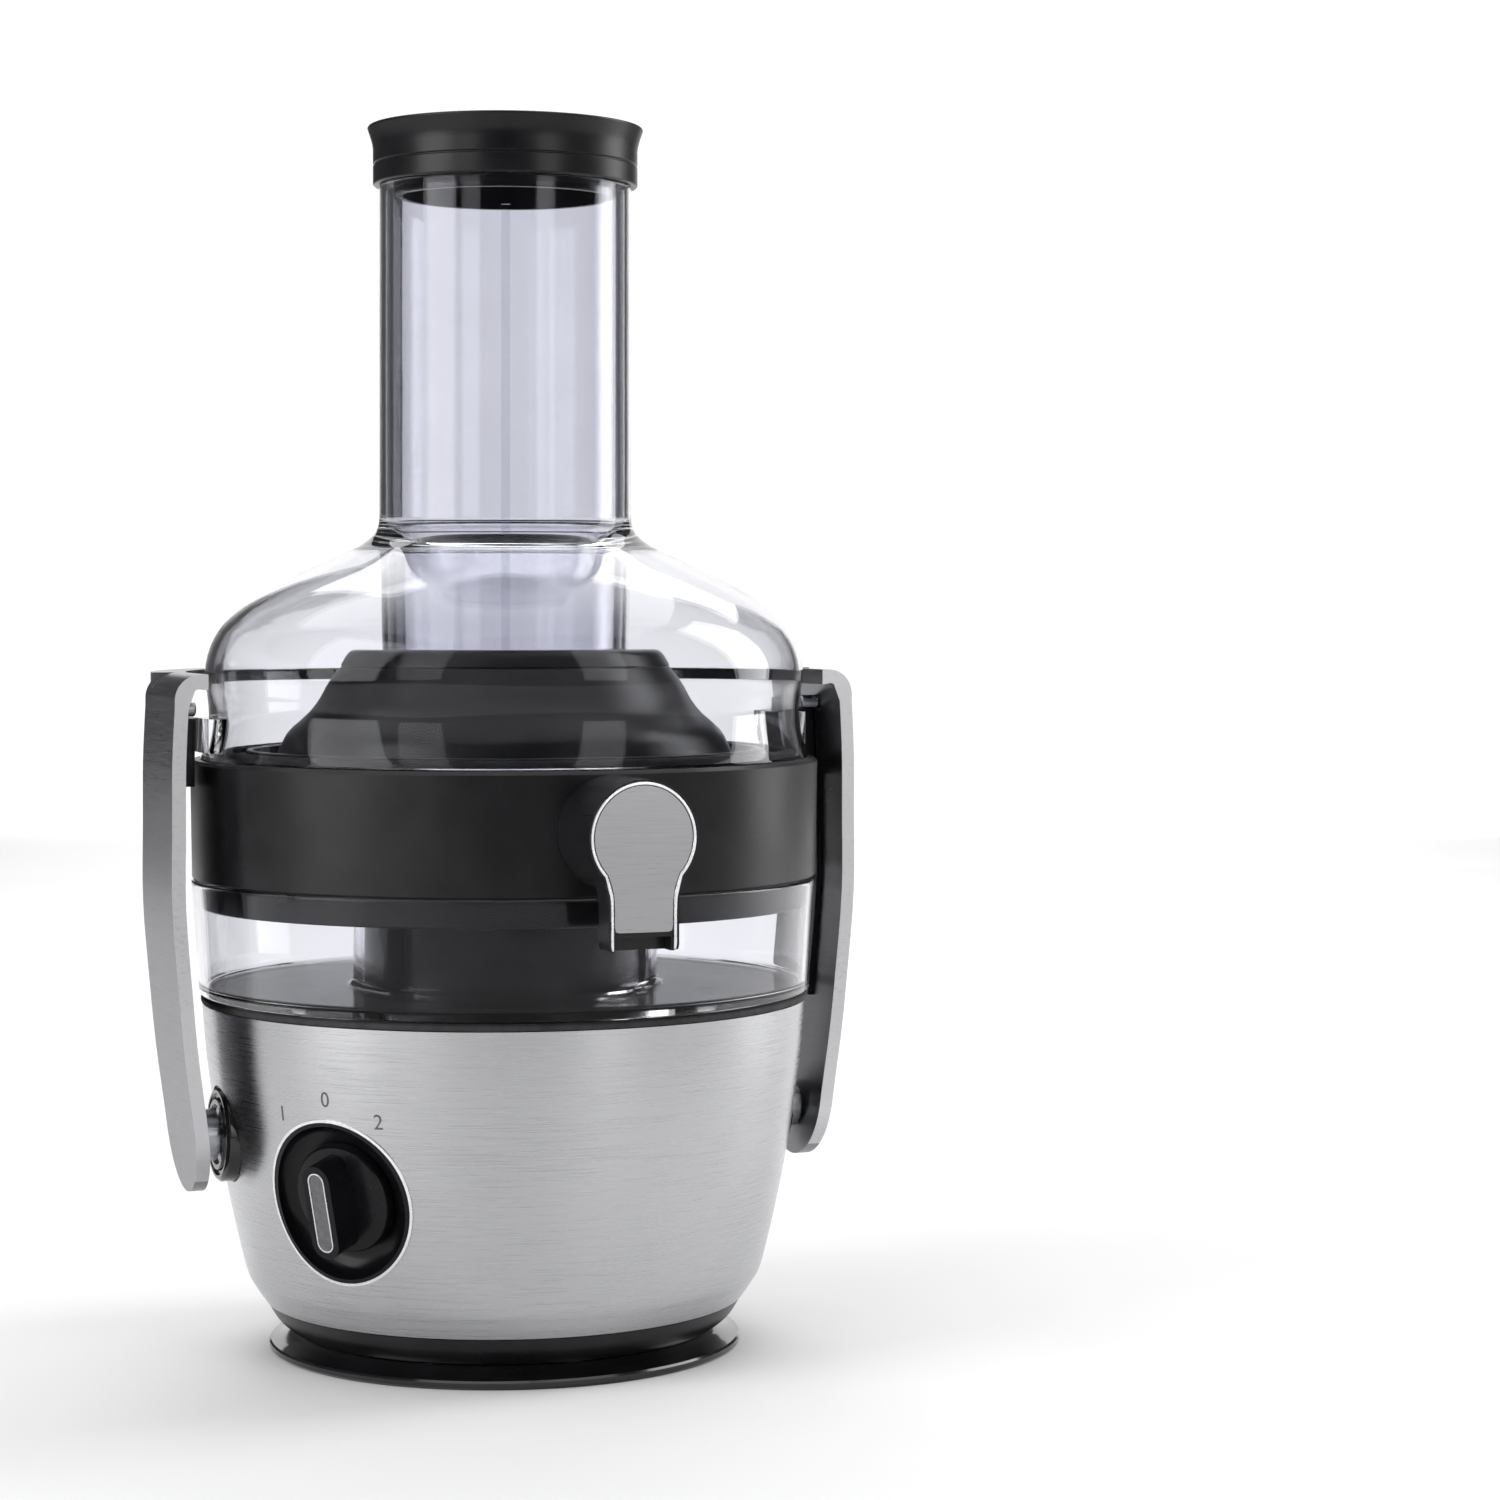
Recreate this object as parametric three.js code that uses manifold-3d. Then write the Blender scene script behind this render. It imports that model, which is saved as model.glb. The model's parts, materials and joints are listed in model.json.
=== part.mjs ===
// Centrifugal juicer with a wide feed tube, a locking bail and a turning drip-stop spout.
// Millimetres, +Z up, spout towards -Y, bail pivots along X. The origin is the centre of the flat underside.
import * as THREE from 'three';
import { mergeVertices } from 'three/addons/utils/BufferGeometryUtils.js';
import Module from 'manifold-3d';

const wasm = await Module();
wasm.setup();

// ---- driving dimensions -------------------------------------------------------------------
const OUTER_SEGMENTS = 32;      // facets round the big casings
const MIDDLE_SEGMENTS = 24;     // facets round the pieces inside them
const INNER_SEGMENTS = 12;      // facets round small turned pieces
const FIT = 0.3;                // gap between pieces that touch

const FOOT_RADIUS = 84.2;
const FOOT_HEIGHT = 6.5;
const SHELL_BOTTOM = 17.5;
const SHELL_TOP = 123.3;
const SHELL_THICKNESS = 1.2;
const CHASSIS_THICKNESS = 2.5;
const DECK_TOP = 123.4;
const TOWER_RADIUS = 50.5;
const TOWER_TOP = 158;
const GASKET_TOP = 126.2;

const CONTAINER_TOP = 167.1;
const COLLECTOR_BOTTOM = 157.5;
const BAND_BOTTOM = 167.5;
const BAND_TOP = 209.5;
const BAND_RADIUS = 112.2;
const CHANNEL_FLOOR = 172.5;

const LID_BOTTOM = 209.8;
const LID_WALL = 2.8;
const TUBE_RADIUS = 45.3;
const TUBE_WALL = 2.3;
const TUBE_TOP = 414.2;
const TUBE_BOTTOM = 190;
const TUBE_SHOULDER = 287.5;
const TUBE_END_RADIUS = 42.9;

const CAP_BOTTOM = 414.5;
const CAP_TOP = 435.6;
const CAP_RADIUS = 47.5;
const CAP_RIM_RADIUS = 49.5;
const PUSHER_RADIUS = 42.4;
const PUSHER_END_RADIUS = 39.9;

const SPOUT_HEIGHT = 189.4;
const SPOUT_RADIUS = 18.8;
const SPOUT_FRONT = 145;
const SPOUT_BACK = 112.9;
const NOSE_REACH = 36.7;
const NOSE_HALF_WIDTH = 12;
const NOSE_DEPTH = 10;

const KNOB_AZIMUTH = THREE.MathUtils.degToRad(52.7);   // from the front towards -X
const KNOB_TILT = THREE.MathUtils.degToRad(14);        // the face looks slightly down
const KNOB_HEIGHT = 63.2;
const KNOB_SURFACE_RADIUS = 100;
const DISH_RADIUS = 28.1;

const PIVOT_HEIGHT = 79.6;
const BUSHING_RADIUS = 16.5;
const BUSHING_FACE = 106;
const ARM_WIDTH = 47;
const ARM_THICKNESS = 4.8;
const BAIL_TOP = 240.5;
const BAIL_PLATE = 5.5;
const BAIL_INNER_RADIUS = 113.8;
const BAIL_OUTER_RADIUS = 126;
const LOCK_PIN_HEIGHT = 228;

const SHAFT_RADIUS = 4;
const BEARING_RADIUS = 11;

// ---- materials ----------------------------------------------------------------------------
function finish(color, roughness, metalness, opacity = 1) {
  return new THREE.MeshStandardMaterial({ color, roughness, metalness, opacity, transparent: opacity < 1 });
}

const SATIN_BLACK = finish('#1b1b1d', 0.45, 0);
const GLOSS_BLACK = finish('#0b0b0d', 0.15, 0);
const BRUSHED_STEEL = finish('#a9a9b0', 0.35, 1);
const ALUMINIUM = finish('#b4b5ba', 0.3, 1);
const CLEAR_PLASTIC = finish('#eef0f6', 0.05, 0, 0.3);
const RUBBER = finish('#151515', 0.8, 0);
const MACHINED_STEEL = finish('#8d8f94', 0.3, 1);
const LAMINATION = finish('#5c5f66', 0.5, 0.8);
const COPPER = finish('#b5652f', 0.4, 1);
const CARBON = finish('#2a2a2c', 0.7, 0.1);
const GREEN_BOARD = finish('#1f5a33', 0.5, 0);
const GREY_PLASTIC = finish('#6d6f74', 0.4, 0);

// ---- geometry helpers ---------------------------------------------------------------------
// A closed mesh with shared vertices and no zero-area triangles.
function weld(geometry) {
  const bare = geometry.clone();
  bare.deleteAttribute('normal');
  bare.deleteAttribute('uv');
  const merged = mergeVertices(bare, 1e-4);
  const kept = [];
  const index = merged.index.array;
  for (let i = 0; i < index.length; i += 3) {
    const [a, b, c] = [index[i], index[i + 1], index[i + 2]];
    if (a !== b && b !== c && c !== a) kept.push(a, b, c);
  }
  merged.setIndex(kept);
  return merged;
}

function toSolid(geometry) {
  const merged = weld(geometry);
  return new wasm.Manifold(new wasm.Mesh({
    numProp: 3,
    vertProperties: new Float32Array(merged.attributes.position.array),
    triVerts: new Uint32Array(merged.index.array),
  }));
}

function toGeometry(solid) {
  const mesh = solid.getMesh();
  const geometry = new THREE.BufferGeometry();
  geometry.setAttribute('position', new THREE.BufferAttribute(mesh.vertProperties, 3));
  geometry.setIndex(new THREE.BufferAttribute(mesh.triVerts, 1));
  return geometry;
}

function join(first, ...others) {
  return toGeometry(others.reduce((sum, next) => sum.add(toSolid(next)), toSolid(first)));
}

function cut(first, ...tools) {
  return toGeometry(tools.reduce((rest, tool) => rest.subtract(toSolid(tool)), toSolid(first)));
}

function common(first, second) {
  return toGeometry(toSolid(first).intersect(toSolid(second)));
}

// A solid of revolution about Z from an outline of [radius, height] corners. An outline whose ends
// lie on the axis stays open there; any other outline is closed back to its start.
function turned(outline, segments = INNER_SEGMENTS) {
  const points = outline.map(([r, z]) => new THREE.Vector2(r, z));
  const onAxis = points[0].x === 0 && points[points.length - 1].x === 0;
  if (THREE.ShapeUtils.area(points) < 0) points.reverse();
  if (!onAxis) points.push(points[0].clone());
  const geometry = new THREE.LatheGeometry(points, segments);
  geometry.rotateX(Math.PI / 2);
  return geometry;
}

function ring(innerRadius, outerRadius, bottom, top, segments = INNER_SEGMENTS) {
  const outline = [[innerRadius, bottom], [outerRadius, bottom], [outerRadius, top], [innerRadius, top]];
  return turned(outline, segments);
}

function disc(radius, bottom, top, segments = INNER_SEGMENTS) {
  return turned([[0, bottom], [radius, bottom], [radius, top], [0, top]], segments);
}

function block(width, depth, height, x, y, z) {
  return new THREE.BoxGeometry(width, depth, height).translate(x, y, z);
}

// Points along a smooth line through a few [radius, height] stations.
function smooth(stations, steps) {
  const curve = new THREE.SplineCurve(stations.map(([r, z]) => new THREE.Vector2(r, z)));
  return curve.getPoints(steps).map((p) => [p.x, p.y]);
}

// The same line moved sideways by a distance, to the left of its direction of travel.
function offset(line, distance) {
  return line.map(([r, z], i) => {
    const [r0, z0] = line[Math.max(i - 1, 0)];
    const [r1, z1] = line[Math.min(i + 1, line.length - 1)];
    const length = Math.hypot(r1 - r0, z1 - z0);
    return [r - distance * (z1 - z0) / length, z + distance * (r1 - r0) / length];
  });
}

function wall(line, thickness) {
  return [...line, ...offset(line, thickness).reverse()];
}

// Turned pieces whose axis is the juicer's X axis, at the pivot height, on one side (1 or -1).
function onPivot(geometry, side, height = PIVOT_HEIGHT, y = 0) {
  return geometry.rotateY(side * Math.PI / 2).translate(0, y, height);
}

// Turned pieces whose axis runs forward through the spout.
function onSpout(geometry) {
  return geometry.rotateX(Math.PI / 2).translate(0, 0, SPOUT_HEIGHT);
}

// ---- scene graph --------------------------------------------------------------------------
const juicer = new THREE.Group();

function add(name, geometry, material, parent = juicer) {
  const mesh = new THREE.Mesh(geometry, material);
  mesh.name = name;
  parent.add(mesh);
  return mesh;
}

// ---- casings of the base ------------------------------------------------------------------
const SHELL_STATIONS = [[85.5, SHELL_BOTTOM], [92.4, 29.5], [97.6, 51.2], [101.8, 72.9], [106, 101.5],
  [108, SHELL_TOP]];
const SHELL_LINE = smooth(SHELL_STATIONS, 5);

const FOOT_PAD_RING = 64;
const FOOT_SCREW_RING = 70.5;
const FOOT_PAD_RADIUS = 9.5;
const PAD_THICKNESS = 2.2;
const SCREW_RADIUS = 1.8;
const SCREW_HEAD_RADIUS = 3.8;
const SCREW_HEAD_BOTTOM = 0.6;
const SCREW_HEAD_TOP = 2.4;
const SCREW_END = 16;

function aroundAxis(geometry, ringRadius, angle) {
  return geometry.clone().translate(ringRadius * Math.cos(angle), ringRadius * Math.sin(angle), 0);
}

function corner(i, turn = 0) {
  return Math.PI / 4 + turn + i * Math.PI / 2;
}

function addFoot() {
  const flare = smooth([[84.2, 2.8], [80.5, 3.6], [77, 5.0], [75, FOOT_HEIGHT]], 3);
  const plate = turned([[0, 0], [FOOT_RADIUS - 0.7, 0], [FOOT_RADIUS, 0.7], ...flare, [0, FOOT_HEIGHT]],
    OUTER_SEGMENTS);
  const pocket = disc(FOOT_PAD_RADIUS + FIT, -1, PAD_THICKNESS + FIT);
  const counterbore = disc(SCREW_HEAD_RADIUS + 0.5, -1, SCREW_HEAD_TOP + FIT, 10);
  const screwHole = disc(SCREW_RADIUS + 0.4, -1, FOOT_HEIGHT + 1, 8);
  const tools = [];
  for (let i = 0; i < 4; i += 1) {
    tools.push(aroundAxis(pocket, FOOT_PAD_RING, corner(i)));
    tools.push(aroundAxis(counterbore, FOOT_SCREW_RING, corner(i, Math.PI / 4)));
    tools.push(aroundAxis(screwHole, FOOT_SCREW_RING, corner(i, Math.PI / 4)));
  }
  const vents = 8;
  for (let i = 0; i < vents; i += 1) {
    const slot = block(15, 3.6, 20, 50, 0, 0).rotateZ((i + 0.5) * 2 * Math.PI / vents);
    tools.push(slot);
  }
  add('foot_disc', cut(plate, ...tools), GLOSS_BLACK);
  const pad = disc(FOOT_PAD_RADIUS, 0, PAD_THICKNESS);
  const screw = turned([[0, SCREW_HEAD_BOTTOM], [SCREW_HEAD_RADIUS, SCREW_HEAD_BOTTOM],
    [SCREW_HEAD_RADIUS, SCREW_HEAD_TOP], [SCREW_RADIUS, SCREW_HEAD_TOP], [SCREW_RADIUS, SCREW_END],
    [0, SCREW_END]], 8);
  for (let i = 0; i < 4; i += 1) {
    add(`rubber_foot_${i + 1}`, aroundAxis(pad, FOOT_PAD_RING, corner(i)), RUBBER);
    add(`foot_screw_${i + 1}`, aroundAxis(screw, FOOT_SCREW_RING, corner(i, Math.PI / 4)), MACHINED_STEEL);
  }
}

// Places a piece made about +Z onto the control's outward-looking axis, its +Y pointing up the casing.
function knobMatrix() {
  const sideways = Math.cos(KNOB_TILT);
  const normal = new THREE.Vector3(-Math.sin(KNOB_AZIMUTH) * sideways, -Math.cos(KNOB_AZIMUTH) * sideways,
    -Math.sin(KNOB_TILT));
  const right = new THREE.Vector3(0, 0, 1).cross(normal).normalize();
  const up = normal.clone().cross(right);
  const matrix = new THREE.Matrix4().makeBasis(right, up, normal);
  matrix.setPosition(-Math.sin(KNOB_AZIMUTH) * KNOB_SURFACE_RADIUS,
    -Math.cos(KNOB_AZIMUTH) * KNOB_SURFACE_RADIUS, KNOB_HEIGHT);
  return matrix;
}

const KNOB_MATRIX = knobMatrix();
const GLAND_HEIGHT = 34;
const GLAND_RADIUS = 8;

// The openings that both the steel sleeve and the chassis behind it leave for what passes through them.
function casingOpenings() {
  const dishHole = disc(DISH_RADIUS + 0.4, -30, 12, 28).applyMatrix4(KNOB_MATRIX);
  const glandHole = disc(GLAND_RADIUS + FIT, 70, 120).rotateX(-Math.PI / 2).translate(0, 0, GLAND_HEIGHT);
  const bushingHoles = [1, -1].map((side) => onPivot(disc(BUSHING_RADIUS + FIT, 60, 120, 20), side));
  return [dishHole, glandHole, ...bushingHoles];
}

function addCasing() {
  add('housing_shell', cut(turned(wall(SHELL_LINE, SHELL_THICKNESS), OUTER_SEGMENTS), ...casingOpenings()),
    BRUSHED_STEEL);
  const behindSteel = offset(SHELL_LINE, SHELL_THICKNESS + 0.4).slice(1, -1);
  behindSteel.push([105.6, 119.4]);
  const bowl = [[75.2, FOOT_HEIGHT + FIT], [77.5, 8], [81.6, 11.6], [85, 17.1]];
  const inner = offset(behindSteel, CHASSIS_THICKNESS).reverse();
  const chassis = turned([...bowl, [83.4, 17.1], ...behindSteel, ...inner, [79, 12.5], [73.5, 9.4],
    [73.5, FOOT_HEIGHT + FIT]], OUTER_SEGMENTS);
  const bosses = [0, 1, 2, 3].map((i) => aroundAxis(
    ring(2.1, 5.2, FOOT_HEIGHT + FIT, 20, 8), FOOT_SCREW_RING, corner(i, Math.PI / 4)));
  add('chassis', cut(join(chassis, ...bosses), ...casingOpenings()), SATIN_BLACK);
}

// The deck closes the base and rises into the hollow tower that carries the drive.
function addDeck() {
  const sheet = 3;
  const deck = turned([[106, 120.4], [106, DECK_TOP], [TOWER_RADIUS + 2, DECK_TOP],
    [TOWER_RADIUS, DECK_TOP + 2], [TOWER_RADIUS, TOWER_TOP - 2], [TOWER_RADIUS - 2, TOWER_TOP], [9, TOWER_TOP], [9, TOWER_TOP - sheet],
    [TOWER_RADIUS - sheet, TOWER_TOP - sheet - 1], [TOWER_RADIUS - sheet, 120.4]], MIDDLE_SEGMENTS);
  const grooves = [-1, 1].map((side) => {
    const angle = -Math.PI / 2 + side * THREE.MathUtils.degToRad(58);
    return block(2.4, 8, 28, TOWER_RADIUS, 0, 142).rotateZ(angle);
  });
  add('top_deck', cut(deck, ...grooves), SATIN_BLACK);
  add('deck_gasket', ring(102, 108.4, DECK_TOP + FIT, GASKET_TOP, OUTER_SEGMENTS), RUBBER);
  add('shaft_seal', ring(SHAFT_RADIUS + FIT, 8.7, TOWER_TOP - 2.6, TOWER_TOP + 0.8), RUBBER);
}

function addCordGland() {
  const gland = ring(3.6, GLAND_RADIUS, 84, 101, 12);
  const flange = ring(3.6, 11, 97, 99.6, 12);
  const piece = join(gland, flange).rotateX(-Math.PI / 2).translate(0, 0, GLAND_HEIGHT);
  add('cord_gland', piece, RUBBER);
}

// ---- drive inside the base ----------------------------------------------------------------
function addMotor() {
  add('lower_bracket', turned([[BEARING_RADIUS + FIT, 7], [34, 7], [34, 9.5], [14, 9.5], [14, 19],
    [BEARING_RADIUS + FIT, 19]]), MACHINED_STEEL);
  add('upper_bracket', turned([[BEARING_RADIUS + FIT, 108], [46, 108], [46, 120], [43, 120], [43, 111],
    [14, 111], [14, 118], [BEARING_RADIUS + FIT, 118]]), MACHINED_STEEL);
  add('lower_bearing', ring(SHAFT_RADIUS + FIT, BEARING_RADIUS, 11, 18), MACHINED_STEEL);
  add('upper_bearing', ring(SHAFT_RADIUS + FIT, BEARING_RADIUS, 110, 117), MACHINED_STEEL);
  add('motor_can', ring(42.3, 44, 32, 107.7), MACHINED_STEEL);
  add('motor_stator', ring(25.4, 42, 36, 84), LAMINATION);
  add('stator_coil_lower', ring(27, 38, 29, 35.7), COPPER);
  add('stator_coil_upper', ring(27, 38, 84.3, 90.5), COPPER);
  for (const [name, side] of [['left', -1], ['right', 1]]) {
    add(`carbon_brush_${name}`, block(12, 6, 5.6, side * 17.8, 0, 25), CARBON);
  }
}

function addRotor() {
  add('motor_shaft', disc(SHAFT_RADIUS, 10, 169), MACHINED_STEEL);
  add('commutator', ring(SHAFT_RADIUS + FIT, 11.3, 21, 28.4), COPPER);
  add('armature', ring(SHAFT_RADIUS + FIT, 24.6, 31, 88), LAMINATION);
  const hub = ring(SHAFT_RADIUS + FIT, 9, 91.5, 104);
  const plate = ring(8, 38, 92, 93.6);
  const blades = [];
  const count = 9;
  for (let i = 0; i < count; i += 1) {
    blades.push(block(24, 1.6, 9, 25, 0, 97.5).rotateZ(i * 2 * Math.PI / count));
  }
  add('cooling_fan', join(hub, plate, ...blades), SATIN_BLACK);
  const lobes = 6;
  const dogs = [];
  for (let i = 0; i < lobes; i += 1) {
    dogs.push(block(5, 3.4, 10, 11.5, 0, 166).rotateZ(i * 2 * Math.PI / lobes));
  }
  add('drive_coupling', join(ring(SHAFT_RADIUS + FIT, 11, 160, 171), ...dogs), GREY_PLASTIC);
}

function addControls() {
  const board = block(62, 1.6, 42, 0, 62, 44).rotateZ(THREE.MathUtils.degToRad(38));
  add('circuit_board', board, GREEN_BOARD);
  add('safety_switch', block(8, 20, 12, 84, 0, 108), SATIN_BLACK);
  add('speed_switch', ring(4.4, 15, -28, -13).applyMatrix4(KNOB_MATRIX), GREY_PLASTIC);
}

// ---- speed control ------------------------------------------------------------------------
function obround(length, width) {
  const shape = new THREE.Shape();
  const r = width / 2;
  const straight = length / 2 - r;
  shape.moveTo(-r, -straight);
  shape.absarc(0, -straight, r, Math.PI, 2 * Math.PI, false);
  shape.lineTo(r, straight);
  shape.absarc(0, straight, r, 0, Math.PI, false);
  return shape;
}

function extruded(shape, from, to, curveSegments = 5) {
  const depth = to - from;
  const geometry = new THREE.ExtrudeGeometry(shape, { depth, bevelEnabled: false, curveSegments });
  return geometry.translate(0, 0, from);
}

function addSpeedControl() {
  const dish = turned([[4.5, -8.5], [24, -8], [26.6, -5.5], [26.9, 6], [DISH_RADIUS, 6], [DISH_RADIUS, -11],
    [4.5, -11]], MIDDLE_SEGMENTS).applyMatrix4(KNOB_MATRIX);
  const envelope = turned([[0, SHELL_BOTTOM], ...offset(SHELL_LINE, -0.4), [0, SHELL_TOP]], OUTER_SEGMENTS);
  add('knob_dish', common(dish, envelope), GLOSS_BLACK);
  const base = turned([[0, -8.2], [19, -7.6], [19, -4.6], [17.5, -3.4], [0, -2.4]], 24);
  const grip = extruded(obround(33, 11), -5, 8.2);
  const stem = disc(SHAFT_RADIUS, -20, -7, 16);
  const recess = extruded(obround(28, 6.6), 7.6, 10);
  add('speed_knob', cut(join(base, grip, stem), recess).applyMatrix4(KNOB_MATRIX), GLOSS_BLACK);
  add('knob_insert', extruded(obround(27.4, 6), 7.9, 8.5).applyMatrix4(KNOB_MATRIX), GREY_PLASTIC);
}

// ---- locking bail -------------------------------------------------------------------------
// Outer face of an arm, from its lower end to the turned-in top, as [x, z].
const ARM_FACE = smooth([[116, 58], [118.4, 82], [124.1, 130], [127, 188], [125.9, 229]], 7);

function armOutline() {
  const cornerRadius = 9;
  const inner = offset(ARM_FACE, ARM_THICKNESS).reverse();
  const shape = new THREE.Shape();
  shape.moveTo(...ARM_FACE[0]);
  ARM_FACE.slice(1).forEach((p) => shape.lineTo(...p));
  shape.absarc(125.7 - cornerRadius, BAIL_TOP - cornerRadius, cornerRadius, 0, Math.PI / 2, false);
  shape.lineTo(BAIL_INNER_RADIUS + 0.2, BAIL_TOP);
  shape.lineTo(BAIL_INNER_RADIUS + 0.2, BAIL_TOP - BAIL_PLATE);
  shape.lineTo(117.5, BAIL_TOP - BAIL_PLATE);
  inner.forEach((p) => shape.lineTo(...p));
  return shape;
}

function armFront() {
  const half = ARM_WIDTH / 2;
  const endRadius = 22.4;
  const shape = new THREE.Shape();
  shape.moveTo(-half, 250);
  shape.lineTo(-half, 150);
  shape.lineTo(-endRadius, 60.5 + endRadius);
  shape.absarc(0, 60.5 + endRadius, endRadius, Math.PI, 2 * Math.PI, false);
  shape.lineTo(half, 150);
  shape.lineTo(half, 250);
  return shape;
}

// An outline drawn in x and z, extruded along Y between two stations.
function acrossY(shape, from, to, curveSegments = 6) {
  return extruded(shape, from, to, curveSegments).rotateX(Math.PI / 2);
}

// An outline drawn in y and z, extruded along X between two stations.
function acrossX(shape, from, to, curveSegments = 8) {
  return extruded(shape, from, to, curveSegments).rotateX(Math.PI / 2).rotateZ(Math.PI / 2);
}

function linerOutline() {
  const skin = offset(ARM_FACE, ARM_THICKNESS + FIT).filter(([, z]) => z > 93 && z < 232);
  const back = offset(skin, 1.5).reverse();
  const shape = new THREE.Shape();
  shape.moveTo(...skin[0]);
  [...skin.slice(1), ...back].forEach((p) => shape.lineTo(...p));
  return shape;
}

function mirrored(geometry, side) {
  return side > 0 ? geometry : geometry.rotateZ(Math.PI);
}

function addBail() {
  const half = ARM_WIDTH / 2;
  const face = acrossX(armFront(), 100, 130);
  const arm = common(acrossY(armOutline(), -half, half), face);
  const arch = new THREE.Shape();
  const sweep = THREE.MathUtils.degToRad(7);
  arch.absarc(0, 0, BAIL_OUTER_RADIUS, sweep, Math.PI - sweep, false);
  arch.absarc(0, 0, BAIL_INNER_RADIUS, Math.PI - sweep, sweep, true);
  const bar = extruded(arch, BAIL_TOP - BAIL_PLATE, BAIL_TOP - 0.4, 18);
  add('locking_bail', join(arm, mirrored(arm.clone(), -1), bar), ALUMINIUM);
  for (const [name, side] of [['left', -1], ['right', 1]]) {
    const pinGap = disc(3.4, 100, 130, 16).rotateY(Math.PI / 2).translate(0, -2 * side, LOCK_PIN_HEIGHT);
    const span = side > 0 ? [-half + 1, 3.5] : [-3.5, half - 1];
    const liner = cut(acrossY(linerOutline(), ...span), pinGap);
    add(`bail_liner_${name}`, mirrored(liner, side), SATIN_BLACK);
    const pinRadius = 5;
    const pin = turned([[0, 94], [pinRadius, 94], [pinRadius, BUSHING_FACE + 0.4], [9, BUSHING_FACE + 0.4],
      [9, 112.3], [0, 112.3]]);
    add(`pivot_pin_${name}`, onPivot(pin, side), MACHINED_STEEL);
    const bushing = turned([[pinRadius + FIT, 90], [BUSHING_RADIUS, 90], [BUSHING_RADIUS, BUSHING_FACE - 1],
      [BUSHING_RADIUS - 1, BUSHING_FACE], [pinRadius + FIT, BUSHING_FACE]], 20);
    add(`pivot_bushing_${name}`, onPivot(bushing, side), SATIN_BLACK);
    add(`lock_pin_${name}`, onPivot(disc(2.6, 113.7, 120.1), side, LOCK_PIN_HEIGHT, -2), MACHINED_STEEL);
  }
}

// ---- pulp container -----------------------------------------------------------------------
function addPulpContainer() {
  const outline = [[52, GASKET_TOP + FIT], [109.2, GASKET_TOP + FIT], [111.8, CONTAINER_TOP],
    [109.6, CONTAINER_TOP], [107.2, 131], [105, GASKET_TOP + 2.5], [57, GASKET_TOP + 2.5], [54.6, 131],
    [54.2, 156], [52, 156]];
  add('pulp_container', turned(outline, OUTER_SEGMENTS), CLEAR_PLASTIC);
}

// ---- juice collector and its spout --------------------------------------------------------
const SOCKET_RADIUS = 15;
const SOCKET_END = 126;
const SPOUT_BORE = 11;

function addCollector() {
  const outline = [[105.9, COLLECTOR_BOTTOM], [108.1, COLLECTOR_BOTTOM], [108.1, BAND_BOTTOM],
    [111.5, BAND_BOTTOM], [BAND_RADIUS, BAND_TOP - 0.8], [BAND_RADIUS - 0.8, BAND_TOP], [92.4, BAND_TOP],
    [92.4, 212.6], [90.2, 212.6], [90.2, BAND_TOP - 2.5], [109.8, BAND_TOP - 2.5], [109.1, CHANNEL_FLOOR],
    [88.8, CHANNEL_FLOOR], [88.8, 179.5], [86.8, 179.5], [86.8, CHANNEL_FLOOR - 2.8],
    [105.9, CHANNEL_FLOOR - 2.8]];
  const bore = onSpout(disc(SPOUT_BORE, 90, 130, 16));
  add('juice_collector', cut(turned(outline, OUTER_SEGMENTS), bore), SATIN_BLACK);
  const collar = onSpout(disc(SPOUT_RADIUS, 106, SPOUT_BACK - 0.5, 24));
  const socket = onSpout(disc(SOCKET_RADIUS, 106, SOCKET_END, 20));
  const withinBand = turned([[0, BAND_BOTTOM], [111.6, BAND_BOTTOM], [BAND_RADIUS + 0.1, BAND_TOP - 0.8],
    [0, BAND_TOP - 0.8]], OUTER_SEGMENTS);
  add('spout_socket', cut(join(collar, socket), withinBand, bore), SATIN_BLACK);
}

// The keyhole outline of the spout's front, drawn about the spout's axis and grown or shrunk by an inset.
function keyhole(inset, bottom) {
  const r = SPOUT_RADIUS - inset;
  const half = NOSE_HALF_WIDTH - inset;
  const leave = THREE.MathUtils.degToRad(-43);
  const start = [r * Math.cos(leave), r * Math.sin(leave)];
  const shape = new THREE.Shape();
  shape.absarc(0, 0, r, leave, Math.PI - leave, false);
  shape.quadraticCurveTo(-half - 0.4, start[1] - 5, -half, start[1] - 9);
  shape.lineTo(-half, bottom + 1.5);
  shape.quadraticCurveTo(-half, bottom, -half + 1.5, bottom);
  shape.lineTo(half - 1.5, bottom);
  shape.quadraticCurveTo(half, bottom, half, bottom + 1.5);
  shape.lineTo(half, start[1] - 9);
  shape.quadraticCurveTo(half + 0.4, start[1] - 5, ...start);
  return shape;
}

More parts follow.
